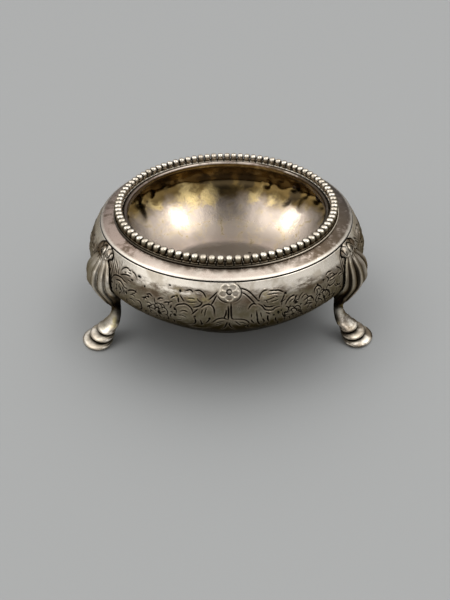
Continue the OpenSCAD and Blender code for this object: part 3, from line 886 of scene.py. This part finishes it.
def belt_finish():
    """Bright on the upper belly; brown and olive lower down, as tarnish and as painted dark reflection and
    shade; black in the strokes and as painted shade beside the feet.
    """
    f = Finish("chased_silver", BRIGHT_SILVER, Metallic=1, Specular_Tint=GRAZED_SILVER)
    _, height, right, _ = f.place()
    cut, near, thread = (f.attribute(name) for name in ("cut", "near", "thread"))
    patches = f.noise(230, 5, 0.62)
    cloud = f.noise(70, 4, 0.6)
    streaks = f.noise(150, 6, 0.7, stretch=(1, 1, 3))
    ragged = height + cloud * 2 + patches
    f.lay(WARM_SILVER, f.fit(patches, 0.45, 0.62) * 0.8)
    # Olive tarnish with painted dark reflection below the bright band, stronger to the right
    low_side = f.fit(ragged, 26.4, 24.9) * f.fit(right + cloud * 20, -22, 4, 0.72, 1)
    f.lay(OLIVE_GROUND, low_side * f.fit(patches, 0.3, 0.62, 0.8, 1))
    band = f.fit(ragged, 26.9, 26.1) * f.fit(ragged, 23.2, 25) * f.fit(streaks, 0.38, 0.52)
    f.lay(BROWN_TARNISH_AND_SHADE, band * 0.7)
    below_line = f.fit(height + patches, 26.6, 25.9)
    stained = f.spots(brown_stains, BELLY_STAIN_R) * below_line * f.fit(streaks, 0.36, 0.62)
    f.lay(BROWN_TARNISH_AND_SHADE, f.fit(stained, 0, 0.7) * 0.85)
    f.lay(BROWN_TARNISH_AND_SHADE, f.fit(near, 0.05, 0.9) * 0.55)
    f.lay(YELLOW_TARNISH, f.spots(yellow_stains, BELLY_STAIN_R) * f.fit(streaks, 0.42, 0.54) * 0.6)
    # Painted dark reflection and shade: the lower belly darkens towards the base
    f.lay(DARK_OLIVE, f.fit(height + cloud * 4, 23.5, 15) * 0.93)
    f.lay(WARM_SILVER, thread * 0.9)
    # Black tarnish in the strokes, and painted shade in the crevice beside the feet
    f.lay(BLACK_TARNISH_AND_SHADE, f.fit(cut, 0.1, 0.5))
    f.bumped(f.noise(800, 4, 0.6) + f.noise(260, 2) * 2, 0.03 * MM)
    return f.done(f.fit(patches, 0.3, 0.7, 0.24, 0.38) + near * 0.15)


def shoulder_finish():
    """Rosy and brown by patches, browner at the left and darker at the right by painted dark reflection, with
    a painted highlight along the incised line; black in the incised line, dark at the wires, with painted
    shade at the wire's foot.
    """
    f = Finish("shoulder_silver", ROSE_SILVER, Metallic=1)
    radius, height, right, back = f.place()
    patches = f.noise(420, 8, 0.72)
    cloud = f.noise(110, 7, 0.68, distortion=0.9)
    off_front = f.fit(back, -20, -27, 1, 0.1)
    f.lay(BRIGHT_SILVER, f.fit(patches, 0.4, 0.7) * 0.6)
    f.lay(ROSE_TARNISH, f.fit(cloud, 0.48, 0.6) * off_front * 0.8)
    f.lay(ROSE_TARNISH, f.fit(right + cloud * 20, 0, -18) * 0.8)
    # Painted dark reflection: the right of the shoulder browner
    f.lay(BROWN_TARNISH_AND_SHADE, f.fit(right + cloud * 40, 26, 42) * f.fit(patches, 0.3, 0.48) * 0.97)
    f.lay(BROWN_TARNISH_AND_SHADE, f.fit(patches + cloud, 0.98, 1.16) * off_front * 0.85)
    # Painted dark reflection: the right of the shoulder darker still
    f.lay(DEEP_BROWN, f.fit(right + cloud * 20, 28, 38) * 0.5)
    f.lay(BROWN_TARNISH_AND_SHADE, f.fit(right + cloud * 20, -4, -18) * 0.22)
    # Painted highlight along the incised line
    near_line = f.fit(radius + cloud, LINE_R - 0.6, LINE_R + 0.2) * f.fit(height, LINE_Z - 1, LINE_Z - 0.2)
    f.lay(BRIGHT_SILVER, near_line * 0.75)
    stained = f.spots(shoulder_stains, SHOULDER_STAIN_R) * f.fit(patches + cloud, 0.84, 1.04)
    f.lay(BROWN_TARNISH_AND_SHADE, f.fit(stained, 0, 0.6) * 0.6)
    outside_neck = f.fit(radius, NECK_R - 0.1, NECK_R + 0.1)
    near_wire = f.fit(radius - cloud * 3 - patches * 2, SEAT_R - 2.4, SEAT_R - 3) * outside_neck
    f.lay(BROWN_TARNISH_AND_SHADE, near_wire * 0.85)
    # Painted shade at the foot of the wire
    f.lay(DEEP_BROWN, f.fit(radius, SEAT_R + 0.05, SEAT_R - 0.2) * outside_neck * 0.8)
    in_line = f.fit(radius, LINE_R - 0.3, LINE_R - 0.12) * f.fit(height, LINE_Z - 0.6, LINE_Z - 0.4)
    f.lay(BLACK_TARNISH_AND_SHADE, in_line)
    lip = f.fit(radius, MOUTH_R + 0.12 * LIP_W, MOUTH_R + 0.3 * LIP_W) * f.fit(radius, NECK_R, NECK_R - 0.1)
    f.lay(DEEP_BROWN, lip * f.fit(f.maths("ABSOLUTE", right), 6, 16) * 0.85)
    lip_edge = f.fit(radius, MOUTH_R + 0.3 * LIP_W, MOUTH_R + 0.2 * LIP_W)
    f.lay(DARK_GOLD, lip_edge * f.fit(height, LIP_Z - 0.3, LIP_Z - 0.5) * 0.85)
    f.bumped(patches, 0.04 * MM)
    return f.done(f.fit(patches, 0.3, 0.7, 0.24, 0.4))


def gilt_finish():
    """Dark gold, worn through to rosy silver lower down, with patches that kept their gold or went brown. The
    dark and brown patches are partly painted dark reflections, and the floor is painted lighter against a
    dark reflection.
    """
    f = Finish("worn_gilding", DARK_GOLD, Metallic=1)
    height = f.place()[1]
    patches = f.noise(190, 6, 0.64, distortion=0.9)
    cloud = f.noise(60, 5, 0.6)
    ragged = f.noise(300, 7, 0.7, distortion=0.6) * 2 - 1
    level = height + cloud * 7 + patches * 4
    worn = f.fit(level, 22.5, 18)
    f.lay(WORN_GOLD, f.fit(patches, 0.46, 0.7))
    f.lay(ROSE_SILVER, worn * 0.9)
    f.lay(BRIGHT_GOLD, f.fit(ragged + cloud, 0.5, 0.8) * worn * 0.2)
    f.lay(ROSE_TARNISH, f.fit(level, 14, 9) * 0.5)
    # Painted light: the bowl's floor lightened against a darker reflection there
    f.lay(BRIGHT_SILVER, f.fit(height, 4.9, 4.2) * 0.45)
    f.lay(BRIGHT_GOLD, f.fit(f.spots(gold_patches, INSIDE_R) + ragged, 0.1, 0.8) * 0.9)
    # Dark and brown patches: stains, and painted dark reflections of the room at the back of the wall
    f.lay(DARK_GOLD, f.fit(f.spots(dark_stains_and_reflections, INSIDE_R) + ragged, 0.1, 0.6) * 0.92)
    f.lay(DEEP_BROWN, f.fit(f.spots(brown_stains_and_reflections, INSIDE_R) + ragged, 0.15, 0.65) * 0.8)
    f.lay(DEEP_BROWN, f.fit(f.spots(specks, SPECK_R) + ragged, 0.42, 0.7) * 0.7)
    f.bumped(f.noise(380, 5, 0.65), 0.04 * MM)
    return f.done(f.fit(patches, 0.3, 0.7, 0.14, 0.24) + f.fit(height, 11, 5.5) * 0.3)


def bead_finish():
    """Bright tops; olive and brown down the outer side and black between the beads and under them, as painted
    shade and painted dark reflection.
    """
    f = Finish("bead_silver", BRIGHT_SILVER, Metallic=1, Specular_Tint=GRAZED_SILVER)
    radius, height, _, _ = f.place()
    outer = f.fit(radius, BEAD_R - 0.3, BEAD_R + 0.3, 0.2, 1)
    patches = f.noise(300, 4)
    f.lay(WARM_SILVER, f.fit(patches, 0.4, 0.6) * 0.85)
    # Painted dark reflection and shade: olive and brown below the bright top of each bead
    f.lay(OLIVE_TARNISH_AND_SHADE, f.fit(height, BEAD_Z + 0.8, BEAD_Z + 0.55) * outer)
    f.lay(BROWN_TARNISH_AND_SHADE, f.fit(height, BEAD_Z + 0.55, BEAD_Z + 0.1) * outer * 0.7)
    # Painted shade between the beads and under them
    gap = f.larger(f.fit(f.attribute("side"), 0.7, 0.9), f.fit(height, BEAD_Z - 0.8, BEAD_Z - 1.2))
    f.lay(BLACK_TARNISH_AND_SHADE, gap)
    return f.done(f.fit(patches, 0.3, 0.7, 0.2, 0.32) + gap * 0.25)


def wire_finish():
    """Brown, but for warm silver at the right."""
    f = Finish("wire_silver", WARM_SILVER, Metallic=1)
    _, _, right, _ = f.place()
    f.lay(DEEP_BROWN, f.fit(right + f.noise(120, 5, 0.65) * 24, 30, 16) * 0.9)
    return f.done(f.fit(f.noise(500, 3), 0.3, 0.7, 0.26, 0.4))


def foot_finish():
    """Bright on the folds and the hoof; brown in the hollows and at the ankle, as tarnish and painted shade;
    black in the strokes, and in painted shade of the seams, the inner side and the hoof's plates.
    """
    f = Finish("cast_silver", BRIGHT_SILVER, Metallic=1, Specular_Tint=GRAZED_SILVER)
    radius, height, right, _ = f.place()
    cut, hollow = f.attribute("cut"), f.attribute("hollow")
    patches = f.noise(240, 5, 0.6)
    f.lay(WARM_SILVER, f.fit(patches, 0.35, 0.6))
    f.lay(OLIVE_TARNISH_AND_SHADE, f.fit(f.noise(130, 4), 0.46, 0.66) * 0.75)
    level = height + patches * 3
    # Painted shade round the ankle, under the knuckle and the belly
    f.lay(DEEP_BROWN, f.fit(level, 15.5, 12.8) * f.fit(level, 8.4, 10) * 0.92)
    # Painted shade on the inner side, towards the belly, more on the right
    inner_side = f.fit(radius + patches * 4, 33.5, 31.5) * f.fit(height, 13, 10) * f.fit(height, 1, 3)
    f.lay(DEEP_BROWN, inner_side * f.fit(right, -20, 20, 0.6, 0.92))
    spotted = f.spots(instep_stains, INSTEP_R) * f.fit(patches, 0.42, 0.54)
    f.lay(YELLOW_TARNISH, f.fit(spotted, 0, 0.5) * 0.8)
    # Tarnish and painted shade on the right foot's hoof
    right_hoof_tarnish_and_shade = f.fit(right, 10, 30) * f.fit(height, 8, 6) * f.fit(f.noise(260, 5, 0.65), 0.4, 0.56)
    f.lay(BROWN_TARNISH_AND_SHADE, right_hoof_tarnish_and_shade * 0.75)
    # Tarnish in the hollows, with painted shade that differs from foot to foot
    f.lay(BROWN_TARNISH_AND_SHADE, hollow * f.fit(patches, 0.25, 0.5, 0.7, 1))
    f.lay(DEEP_BROWN, f.fit(hollow, 0.5, 0.9) * 0.85)
    crest = f.fit(height, CREST_Z - CREST_H - 0.6, CREST_Z - CREST_H + 0.4)
    f.lay(BROWN_TARNISH_AND_SHADE, crest * f.fit(patches, 0.36, 0.56, 0.2, 0.9))
    # Black tarnish in the strokes, and painted shade in the seams, on the inner side and between the hoof's
    # plates
    f.lay(BLACK_TARNISH_AND_SHADE, f.fit(cut + patches * 0.4, 0.35, 0.9))
    f.bumped(f.noise(1000, 3, 0.6) + f.noise(300, 2), 0.02 * MM)
    return f.done(f.fit(patches, 0.3, 0.7, 0.2, 0.34) + cut * 0.3)


# A bead is worn flat on top, tapers below and leans out to a toe on its strip.
# All are shares of its radius but the first, which is a power: the smaller, the flatter the top.
BEAD_SHOULDER = 0.4
BEAD_TAPER = 0.38
BEAD_LEAN = 0.3
BEAD_TOE = 0.12
BEAD_STRETCH = 0.12

# How far the strip's edges are cut back
STRIP_EDGE = 0.14


def worn_bead(co):
    """Moves one point of a plain round bead at (BEAD_R, 0, BEAD_Z)."""
    half = BEAD_D / 2
    x, y, z = (co.x - BEAD_R) / half, co.y / half, (co.z - BEAD_Z) / half
    flat = sqrt(x * x + y * y)
    wide = flat ** (BEAD_SHOULDER - 1) if z > 0 and flat > 0 else 1 - BEAD_TAPER * z * z
    co.x = BEAD_R + half * (x * wide * (1 + BEAD_STRETCH * min(1, 1 + z)) + BEAD_LEAN * max(-z, 0))
    co.y = half * y * wide
    co.z = BEAD_Z + half * (z if z > 0 else z * (1 + BEAD_TOE))


def bead_border(material):
    """The flat strip with its row of beads."""
    top, inner_r = SEAT_Z + STRIP_H, STRIP_R - STRIP_W
    ring = [
        (inner_r + STRIP_EDGE, SEAT_Z), (STRIP_R - STRIP_EDGE, SEAT_Z), (STRIP_R, SEAT_Z + STRIP_EDGE),
        (STRIP_R, top - STRIP_EDGE), (STRIP_R - STRIP_EDGE, top), (inner_r + STRIP_EDGE, top),
        (inner_r, top - STRIP_EDGE), (inner_r, SEAT_Z + STRIP_EDGE),
    ]
    mesh = spun(ring, WIRE_STEPS)
    bead = bmesh.ops.create_uvsphere(
        mesh, u_segments=20, v_segments=14, radius=BEAD_D / 2, matrix=Matrix.Translation((BEAD_R, 0, BEAD_Z))
    )["verts"]
    for vert in bead:
        worn_bead(vert.co)
    parts = dict.fromkeys(part for vert in bead for part in (vert, *vert.link_edges, *vert.link_faces))
    step = 2 * pi / BEAD_COUNT
    bmesh.ops.spin(
        mesh, geom=list(parts), cent=(0, 0, 0), axis=(0, 0, 1), use_duplicate=True,
        angle=2 * pi - step, steps=BEAD_COUNT - 1,
    )
    at = places(mesh)
    off = (np.arctan2(at[:, 1], at[:, 0]) + step / 2) % step - step / 2
    made = piece("bead_border", mesh, "bead_silver", "bead_border", material)
    mark(made, "side", np.abs(off) * BEAD_R / (BEAD_D / 2))


def seat_wire(material):
    middle = (WIRE_R, SEAT_Z + SOLDER + WIRE_D / 2)
    ring = [around(middle, WIRE_D / 2, WIRE_D / 2, turn) for turn in np.arange(0, 360, 22.5)]
    piece("seat_wire", spun(ring, WIRE_STEPS), "wire_silver", "seat_wire", material)


# Foot: heights and widths from the crest down to the sole, and how far each part stands out or in
CREST_Z = LINE_Z
CREST_H = 2.6
CREST_W = 7.6
CREST_PROUD = 1.3
WAIST_W = 5.4
WAIST_PROUD = 1.2
KNUCKLE_W = 12.4
KNUCKLE_PROUD = 2.9
KNUCKLE_DROP = 0.9
FLUTES = 5
FLUTE_DEPTH = 0.7
ANKLE_Z = 8.6
ANKLE_W = 2.8
ANKLE_T = 2.4
ANKLE_IN = 4.2
LAYERS = 3
HOOF_H = 3.9
HOOF_W = 9.2
SOLE_L = 7.2
SOLE_OUT = 3.2
STEP_OUT = 2.1
STEP_SIDE = 0.75
KNUCKLE_Z = BELLY_Z - KNUCKLE_DROP
ANKLE_R = BELLY_R - ANKLE_IN
SOLE_R = BELLY_R + SOLE_OUT

# The azimuth of each foot's middle, and how brown its hollows are: tarnish, with painted shade that is
# strongest on the front right foot
FEET = {"leg_front_left": (210, 0.32), "leg_front_right": (330, 1), "leg_back": (90, 0.7)}

# A fold rises to its edge and drops at once to the next one, with a dark seam of painted shade between them
FOLD_EDGE = 0.8
FOLD_POWER = 1.4
SEAM_W = 0.16

# Tarnish of the strokes, and painted shade of the seams and of the inner side,
# and how far the brown of the hollows, tarnish and painted shade, spreads up their sides: less is further
STROKE_TARNISH = 0.8
SEAM_SHADE = 0.6
INNER_SHADE = 0.6
HOLLOW_SPREAD = 0.4

# The inner side's painted shade fades over these heights above the hoof and below the knuckle,
# and comes round each flank from the first of these angles, over the second
INNER_FADE = (1.5, 3)
FLANK_FADE = (20, 60)

# Rings of the foot's upper parts, as shares of the lengths above:
# of the crest (fall, outer edge, width), its brow (fall, outer edge, width, flutes),
# the calf (rise, outer edge, width, where it is widest, flutes)
# and the instep (fall, outer edge, inner edge, width)
crest_share = [(0, 0.15, 0.3), (0.12, 0.55, 0.6), (0.35, 0.9, 0.88), (0.6, 0.9, 1), (0.82, 0.9, 0.92)]
brow_share = [(0.22, 0.34, 0.42, 0.8), (0.5, 0.7, 0.76, 1)]
calf_share = [
    (0.76, 0.86, 0.88, 0.14, 1), (0.52, 0.62, 0.6, 0.24, 1), (0.3, 0.36, 0.3, 0.38, 0.8),
    (0.13, 0.1, 0.08, 0.48, 0.4),
]
instep_share = [
    (0.3, 0.04, 0.1, 0.16), (0.55, 0.14, 0.28, 0.36), (0.78, 0.32, 0.52, 0.6), (0.93, 0.56, 0.76, 0.82),
]

# One plate of the hoof: (fall, share of the step out, set back, painted shade in the crevices under the
# plates).
# The fall and the set back are shares of the plate's height. The top plate starts below its first rings.
plate_share = [
    (0, 0, 0.75, 1), (0.03, 0.05, 0.5, 1), (0.06, 0.24, 0.36, 0.6), (0.1, 0.45, 0.26, 0.42),
    (0.16, 0.66, 0.16, 0.3), (0.25, 0.84, 0.09, 0.18), (0.36, 0.95, 0.03, 0), (0.5, 1, 0, 0),
    (0.64, 1, 0.02, 0), (0.78, 1, 0.1, 0.1), (0.88, 1, 0.28, 0.6), (0.95, 1, 0.55, 1), (0.98, 1, 0.75, 1),
]
TOP_PLATE_FALL = 0.1
SOLE_EDGE = 0.33

# Where a ring is widest, as a share of its thickness: near the belly above, in the middle at the hoof
NEAR_BELLY = 0.12
IN_MIDDLE = 0.5

# Strokes of the crest, as (across, below its top), their half width and depth, and how far down they go
crest_lines = [
    arc((0.1, 1.15), 0.42, 0.36), arc((0, 1.1), 1.2, 0.95, 140, 400), [(0, 2.1), (0, 2.9)],
] + mirrored([
    [(0.6, 2.1), (0.9, 3.0)],
    [(1.4, 0.45), (2.1, 0.2), (2.9, 0.5), (3.2, 1.2), (2.7, 1.75), (2.1, 1.45)],
    [(1.2, 1.9), (1.9, 2.35), (2.9, 2.35), (3.7, 1.9)],
])
CREST_CUT = (0.24, 0.28)
RELIEF_H = 1.4 * CREST_H

# Swellings of the crest: (across, below its top, half width, half height, height)
crest_swells = [
    (0, 1.1, 1.4, 1.15, 0.4), (0.1, 1.15, 0.5, 0.45, -0.5),
    *((side * 2.6, 1.1, 1.3, 1.0, 0.32) for side in (1, -1)),
    *((side * 2.5, 1.2, 0.4, 0.35, -0.35) for side in (1, -1)),
    *((side * 2.6, 2.2, 1.2, 0.4, 0.25) for side in (1, -1)),
]


def crest_relief(across, below):
    """Swelling of the crest, and how deep a point lies in one of its strokes."""
    raised, cut = np.zeros((2, len(across)))
    if below < RELIEF_H:
        raised = sum(place[4] * bump(across, below, place) for place in crest_swells)
        for points in crest_lines:
            away = to_line(across, np.full_like(across, below), through(points, 4))[0]
            cut = np.maximum(cut, np.clip(1 - away / CREST_CUT[0], 0, 1))
    return raised, cut


def belly_at(height):
    return np.interp(height, SIDE[:, 1], SIDE[:, 0])


def foot_stations():
    """The level rings above the hoof, from the crest down, and the hoof's own rings.

    Each is [height, outer edge, inner edge, half width, where it is widest, depth of the flutes, painted
    shade].
    """
    waist_z, ankle_out = CREST_Z - CREST_H, ANKLE_R + ANKLE_T
    knuckle_r = BELLY_R + KNUCKLE_PROUD
    toe, heel = SOLE_R + SOLE_L / 2, SOLE_R - SOLE_L / 2
    layer_h = HOOF_H / LAYERS
    top_toe, top_heel = toe - (LAYERS - 1) * STEP_OUT, lerp(ANKLE_R, heel, 0.5)
    top_w = HOOF_W - 2 * (LAYERS - 1) * STEP_SIDE
    upper = []
    for fall, proud, half in crest_share:
        z = CREST_Z - fall * CREST_H
        upper.append([z, belly_at(z) + proud * CREST_PROUD, ANKLE_R, half * CREST_W / 2, NEAR_BELLY, 0, 0])
    waist_out = belly_at(waist_z) + WAIST_PROUD
    upper.append([waist_z, waist_out, ANKLE_R, WAIST_W / 2, NEAR_BELLY, 0.4 * FLUTE_DEPTH, 0])
    for fall, proud, half, flute in brow_share:
        z = lerp(waist_z, KNUCKLE_Z, fall)
        upper.append([
            z, belly_at(z) + lerp(WAIST_PROUD, KNUCKLE_PROUD, proud), ANKLE_R,
            lerp(WAIST_W, KNUCKLE_W, half) / 2, NEAR_BELLY, FLUTE_DEPTH * flute, 0,
        ])
    upper.append([KNUCKLE_Z, knuckle_r, ANKLE_R, KNUCKLE_W / 2, NEAR_BELLY, FLUTE_DEPTH, 0])
    for rise, out, half, widest, flute in calf_share:
        upper.append([
            lerp(ANKLE_Z, KNUCKLE_Z, rise), lerp(ankle_out, knuckle_r, out), ANKLE_R,
            lerp(ANKLE_W, KNUCKLE_W, half) / 2, widest, FLUTE_DEPTH * flute, 0,
        ])
    upper.append([ANKLE_Z, ankle_out, ANKLE_R, ANKLE_W / 2, IN_MIDDLE, 0, 0])
    for fall, out, back, half in instep_share:
        upper.append([
            lerp(ANKLE_Z, HOOF_H, fall), lerp(ankle_out, top_toe, out), lerp(ANKLE_R, top_heel, back),
            lerp(ANKLE_W, top_w, half) / 2, IN_MIDDLE, 0, 0,
        ])
    hoof = []
    for k in range(LAYERS):
        for fall, out, back, dark in plate_share:
            if k or fall > TOP_PLATE_FALL:
                short, down = LAYERS - k - out, (k + fall) / LAYERS
                hoof.append([
                    HOOF_H * (1 - down), toe - short * STEP_OUT - back * layer_h,
                    lerp(top_heel, heel, down) + back * layer_h / 2,
                    HOOF_W / 2 - short * STEP_SIDE - back * layer_h, IN_MIDDLE, 0, dark,
                ])
    sole = SOLE_EDGE * layer_h
    hoof.append([0, toe - sole, heel + sole, HOOF_W / 2 - sole, IN_MIDDLE, 0, 0])
    return through(upper, 7), np.array(hoof)


def foot_ring(ring, outer_steps, inner_steps):
    """Points round one ring: the fluted outer side, then the inner side, which follows the belly."""
    z, out, back, half, widest_share, flute, dark = ring
    seat = belly_at(z) + SOLDER

    # Folds of the outer side, from one flank (-90) to the other (90)
    a = np.radians(np.linspace(-90, 90, outer_steps + 1))
    fold = FLUTES * (0.5 - np.abs(a) / pi) % 1
    hollow = np.where(fold < FOLD_EDGE, fold / FOLD_EDGE, (1 - fold) / (1 - FOLD_EDGE)) ** FOLD_POWER
    seam = np.clip(1 - np.abs(fold - (1 + FOLD_EDGE) / 2 + SEAM_W / 3) / SEAM_W, 0, 1) * flute / FLUTE_DEPTH

    # The outer side itself, moved square to the plain ring by the folds and the crest
    widest = lerp(max(back, sqrt(seat**2 - half**2)), out, widest_share)
    deep = out - widest
    way = np.stack([half * np.cos(a), deep * np.sin(a)], 1)
    way /= np.linalg.norm(way, axis=1)[:, None] + 1e-9
    y = half * np.sin(a)
    raised, cut = crest_relief(y, CREST_Z - z)
    lift = raised - cut * CREST_CUT[1] - flute * hollow
    lift *= np.clip(deep / (2 * FLUTE_DEPTH), 0, 1)
    front = np.stack([widest + deep * np.cos(a), y], 1) + lift[:, None] * way

    # The inner side
    b = np.radians(90 + 180 * np.arange(1, inner_steps) / inner_steps)
    across = abs(front[-1, 1]) * np.sin(b)
    behind = np.maximum(widest + (widest - back) * np.cos(b), np.sqrt(seat**2 - across**2))
    points = np.vstack([front, np.stack([behind, across], 1)])

    # Tarnish of the strokes, and painted shade of the seams, the flanks, the inner side and the hoof's
    # plates, on both sides
    plain = np.zeros(inner_steps - 1)
    low = INNER_SHADE * np.clip((z - HOOF_H) / INNER_FADE[0], 0, 1)
    low *= np.clip((KNUCKLE_Z - z) / INNER_FADE[1], 0, 1)
    flank = low * np.clip((np.degrees(np.abs(a)) - FLANK_FADE[0]) / FLANK_FADE[1], 0, 1)
    outer_cut_and_shade = np.maximum.reduce([STROKE_TARNISH * cut, SEAM_SHADE * seam, flank, np.full_like(a, dark)])
    cuts_and_shade = np.concatenate([outer_cut_and_shade, plain + max(low, dark)])
    hollows = np.concatenate([hollow * flute / FLUTE_DEPTH, plain])
    return np.column_stack([points, np.full(len(points), z)]), cuts_and_shade, hollows


def foot_mesh():
    """One cast foot that points along X, and its tarnish and painted shade, point by point."""
    outer_steps, inner_steps = 110, 28
    mesh = bmesh.new()
    loop = bmesh.ops.create_circle(mesh, segments=outer_steps + inner_steps, radius=1)["verts"]
    rim = list(mesh.edges)
    cuts_and_shade, hollows = [], []
    for k, ring in enumerate(np.vstack(foot_stations())):
        if k:
            grown = bmesh.ops.extrude_edge_only(mesh, edges=rim)["geom"]
            loop = [g for g in grown if isinstance(g, bmesh.types.BMVert)]
            rim = [g for g in grown if isinstance(g, bmesh.types.BMEdge)]
        points, cut, hollow = foot_ring(ring, outer_steps, inner_steps)
        for vert, co in zip(loop, points):
            vert.co = co
        cuts_and_shade.append(cut)
        hollows.append(hollow)
    bmesh.ops.holes_fill(mesh, edges=mesh.edges, sides=0)
    bmesh.ops.recalc_face_normals(mesh, faces=mesh.faces)
    return mesh, np.concatenate(cuts_and_shade), np.concatenate(hollows)


def feet(material):
    cast, cuts_and_shade, hollows = foot_mesh()
    for name, (azimuth, brown) in FEET.items():
        mesh = cast.copy()
        turn = Matrix.Rotation(radians(azimuth), 3, "Z")
        bmesh.ops.rotate(mesh, cent=(0, 0, 0), matrix=turn, verts=mesh.verts)
        made = piece(name, mesh, "foot_silver", name, material)
        # The cut mark holds the strokes' tarnish and painted shade; the hollow mark holds tarnish with
        # painted shade, more on some feet
        mark(made, "cut", cuts_and_shade)
        mark(made, "hollow", brown * hollows**HOLLOW_SPREAD)
    cast.free()


def plain_floor():
    """A plain grey floor, 6 m across."""
    mesh = bmesh.new()
    bmesh.ops.create_grid(mesh, x_segments=1, y_segments=1, size=3)
    floor = put_mesh("floor", mesh, Finish("plain_floor", FLOOR_GREY, Metallic=0).done(0.6))


# Softboxes: their side, and what they light, in metres, and the place and power of each
SOFTBOX = 0.08
LIT = (0, 0, 0.02)
softboxes = {"left_softbox": ((-0.363, 0.011, 0.437), 0.1), "right_softbox": ((0.294, -0.069, 0.46), 0.09)}


def studio():
    """A soft room: low window in front, pale behind, bright high up on both sides, with two softboxes.

    Between the bright sides is a narrow dark wall in front.
    """
    world = bpy.data.worlds.new("studio")
    bpy.context.scene.world = world
    world.use_nodes = True
    room = Nodes(world.node_tree, "Generated")
    x, y, z = room.xyz()
    in_front = room.fit(y, 0.1, -0.35)
    window = in_front * room.fit(z, 0.08, 0.24) * room.fit(z, 0.66, 0.5) * room.fit(x, 0.8, -0.5, 0.3, 0.7)
    dimmed = in_front * room.fit(z, 0.5, 0.66)
    not_beside = room.fit(x, -0.8, -0.4) * room.fit(x, 0.8, 0.4)
    behind = room.fit(y, -0.1, 0.35) * room.fit(z, 0.25, 0.5) * not_beside
    low_sides = room.larger(room.fit(x, -0.6, -0.95), room.fit(x, 0.6, 0.95)) * room.fit(z, 0.7, 0.2)
    high_sides = room.larger(room.fit(x, -0.2, -0.5), room.fit(x, 0.1, 0.4)) * room.fit(z, 0.55, 0.75)
    sides = low_sides * 0.3 + high_sides * room.fit(z, 0.72, 0.86, 0.7, 1.6)
    ahead = room.fit(y, -0.2, -0.35) * room.fit(x, -0.17, -0.12) * room.fit(x, 0.17, 0.12)
    dark_wall = ahead * room.fit(z, 0.6, 0.68) * room.fit(z, 0.92, 0.9)
    evenly = room.fit(z, 0, 1.1, 0.12, 0.8)
    light = evenly + window + behind * 0.65 + sides - dimmed * 0.3 - dark_wall * 0.25
    background = room.tree.nodes["Background"]
    room.feed(background.inputs["Color"], (1, 1, 1.02))
    room.feed(background.inputs["Strength"], light)
    for name, (place, power) in softboxes.items():
        lamp = bpy.data.lights.new(name, "AREA")
        lamp.size = SOFTBOX
        lamp.energy = power
        made = put(name, lamp)
        made.location = place
        made.rotation_euler = (Vector(LIT) - Vector(place)).to_track_quat("-Z", "Y").to_euler()


# The photograph's camera, fitted to its circles and soles
PHOTO_H_PX = 600
FOCAL_PX = 621.7
SENSOR_H = 36
CAMERA_AT = (-0.569, -142.6, 105.35)
CAMERA_DOWN = 0.645
CAMERA_ROLL = -0.011


def camera():
    """The photograph's view: 37.3 mm lens, 177 mm away, 37 degrees down."""
    lens = bpy.data.cameras.new("camera")
    lens.sensor_fit = "VERTICAL"
    lens.sensor_height = SENSOR_H
    lens.lens = FOCAL_PX / PHOTO_H_PX * SENSOR_H
    lens.clip_start = 0.01
    made = put("camera", lens)
    made.matrix_world = (
        Matrix.Translation(Vector(CAMERA_AT) * MM)
        @ Matrix.Rotation(pi / 2 - CAMERA_DOWN, 4, "X")
        @ Matrix.Rotation(CAMERA_ROLL, 4, "Z")
    )
    bpy.context.scene.camera = made


camera()
studio()
plain_floor()
bowl_belts(belt_finish())
bowl_sheet(shoulder_finish(), gilt_finish())
bead_border(bead_finish())
seat_wire(wire_finish())
feet(foot_finish())
bpy.context.scene.view_settings.view_transform = "Standard"
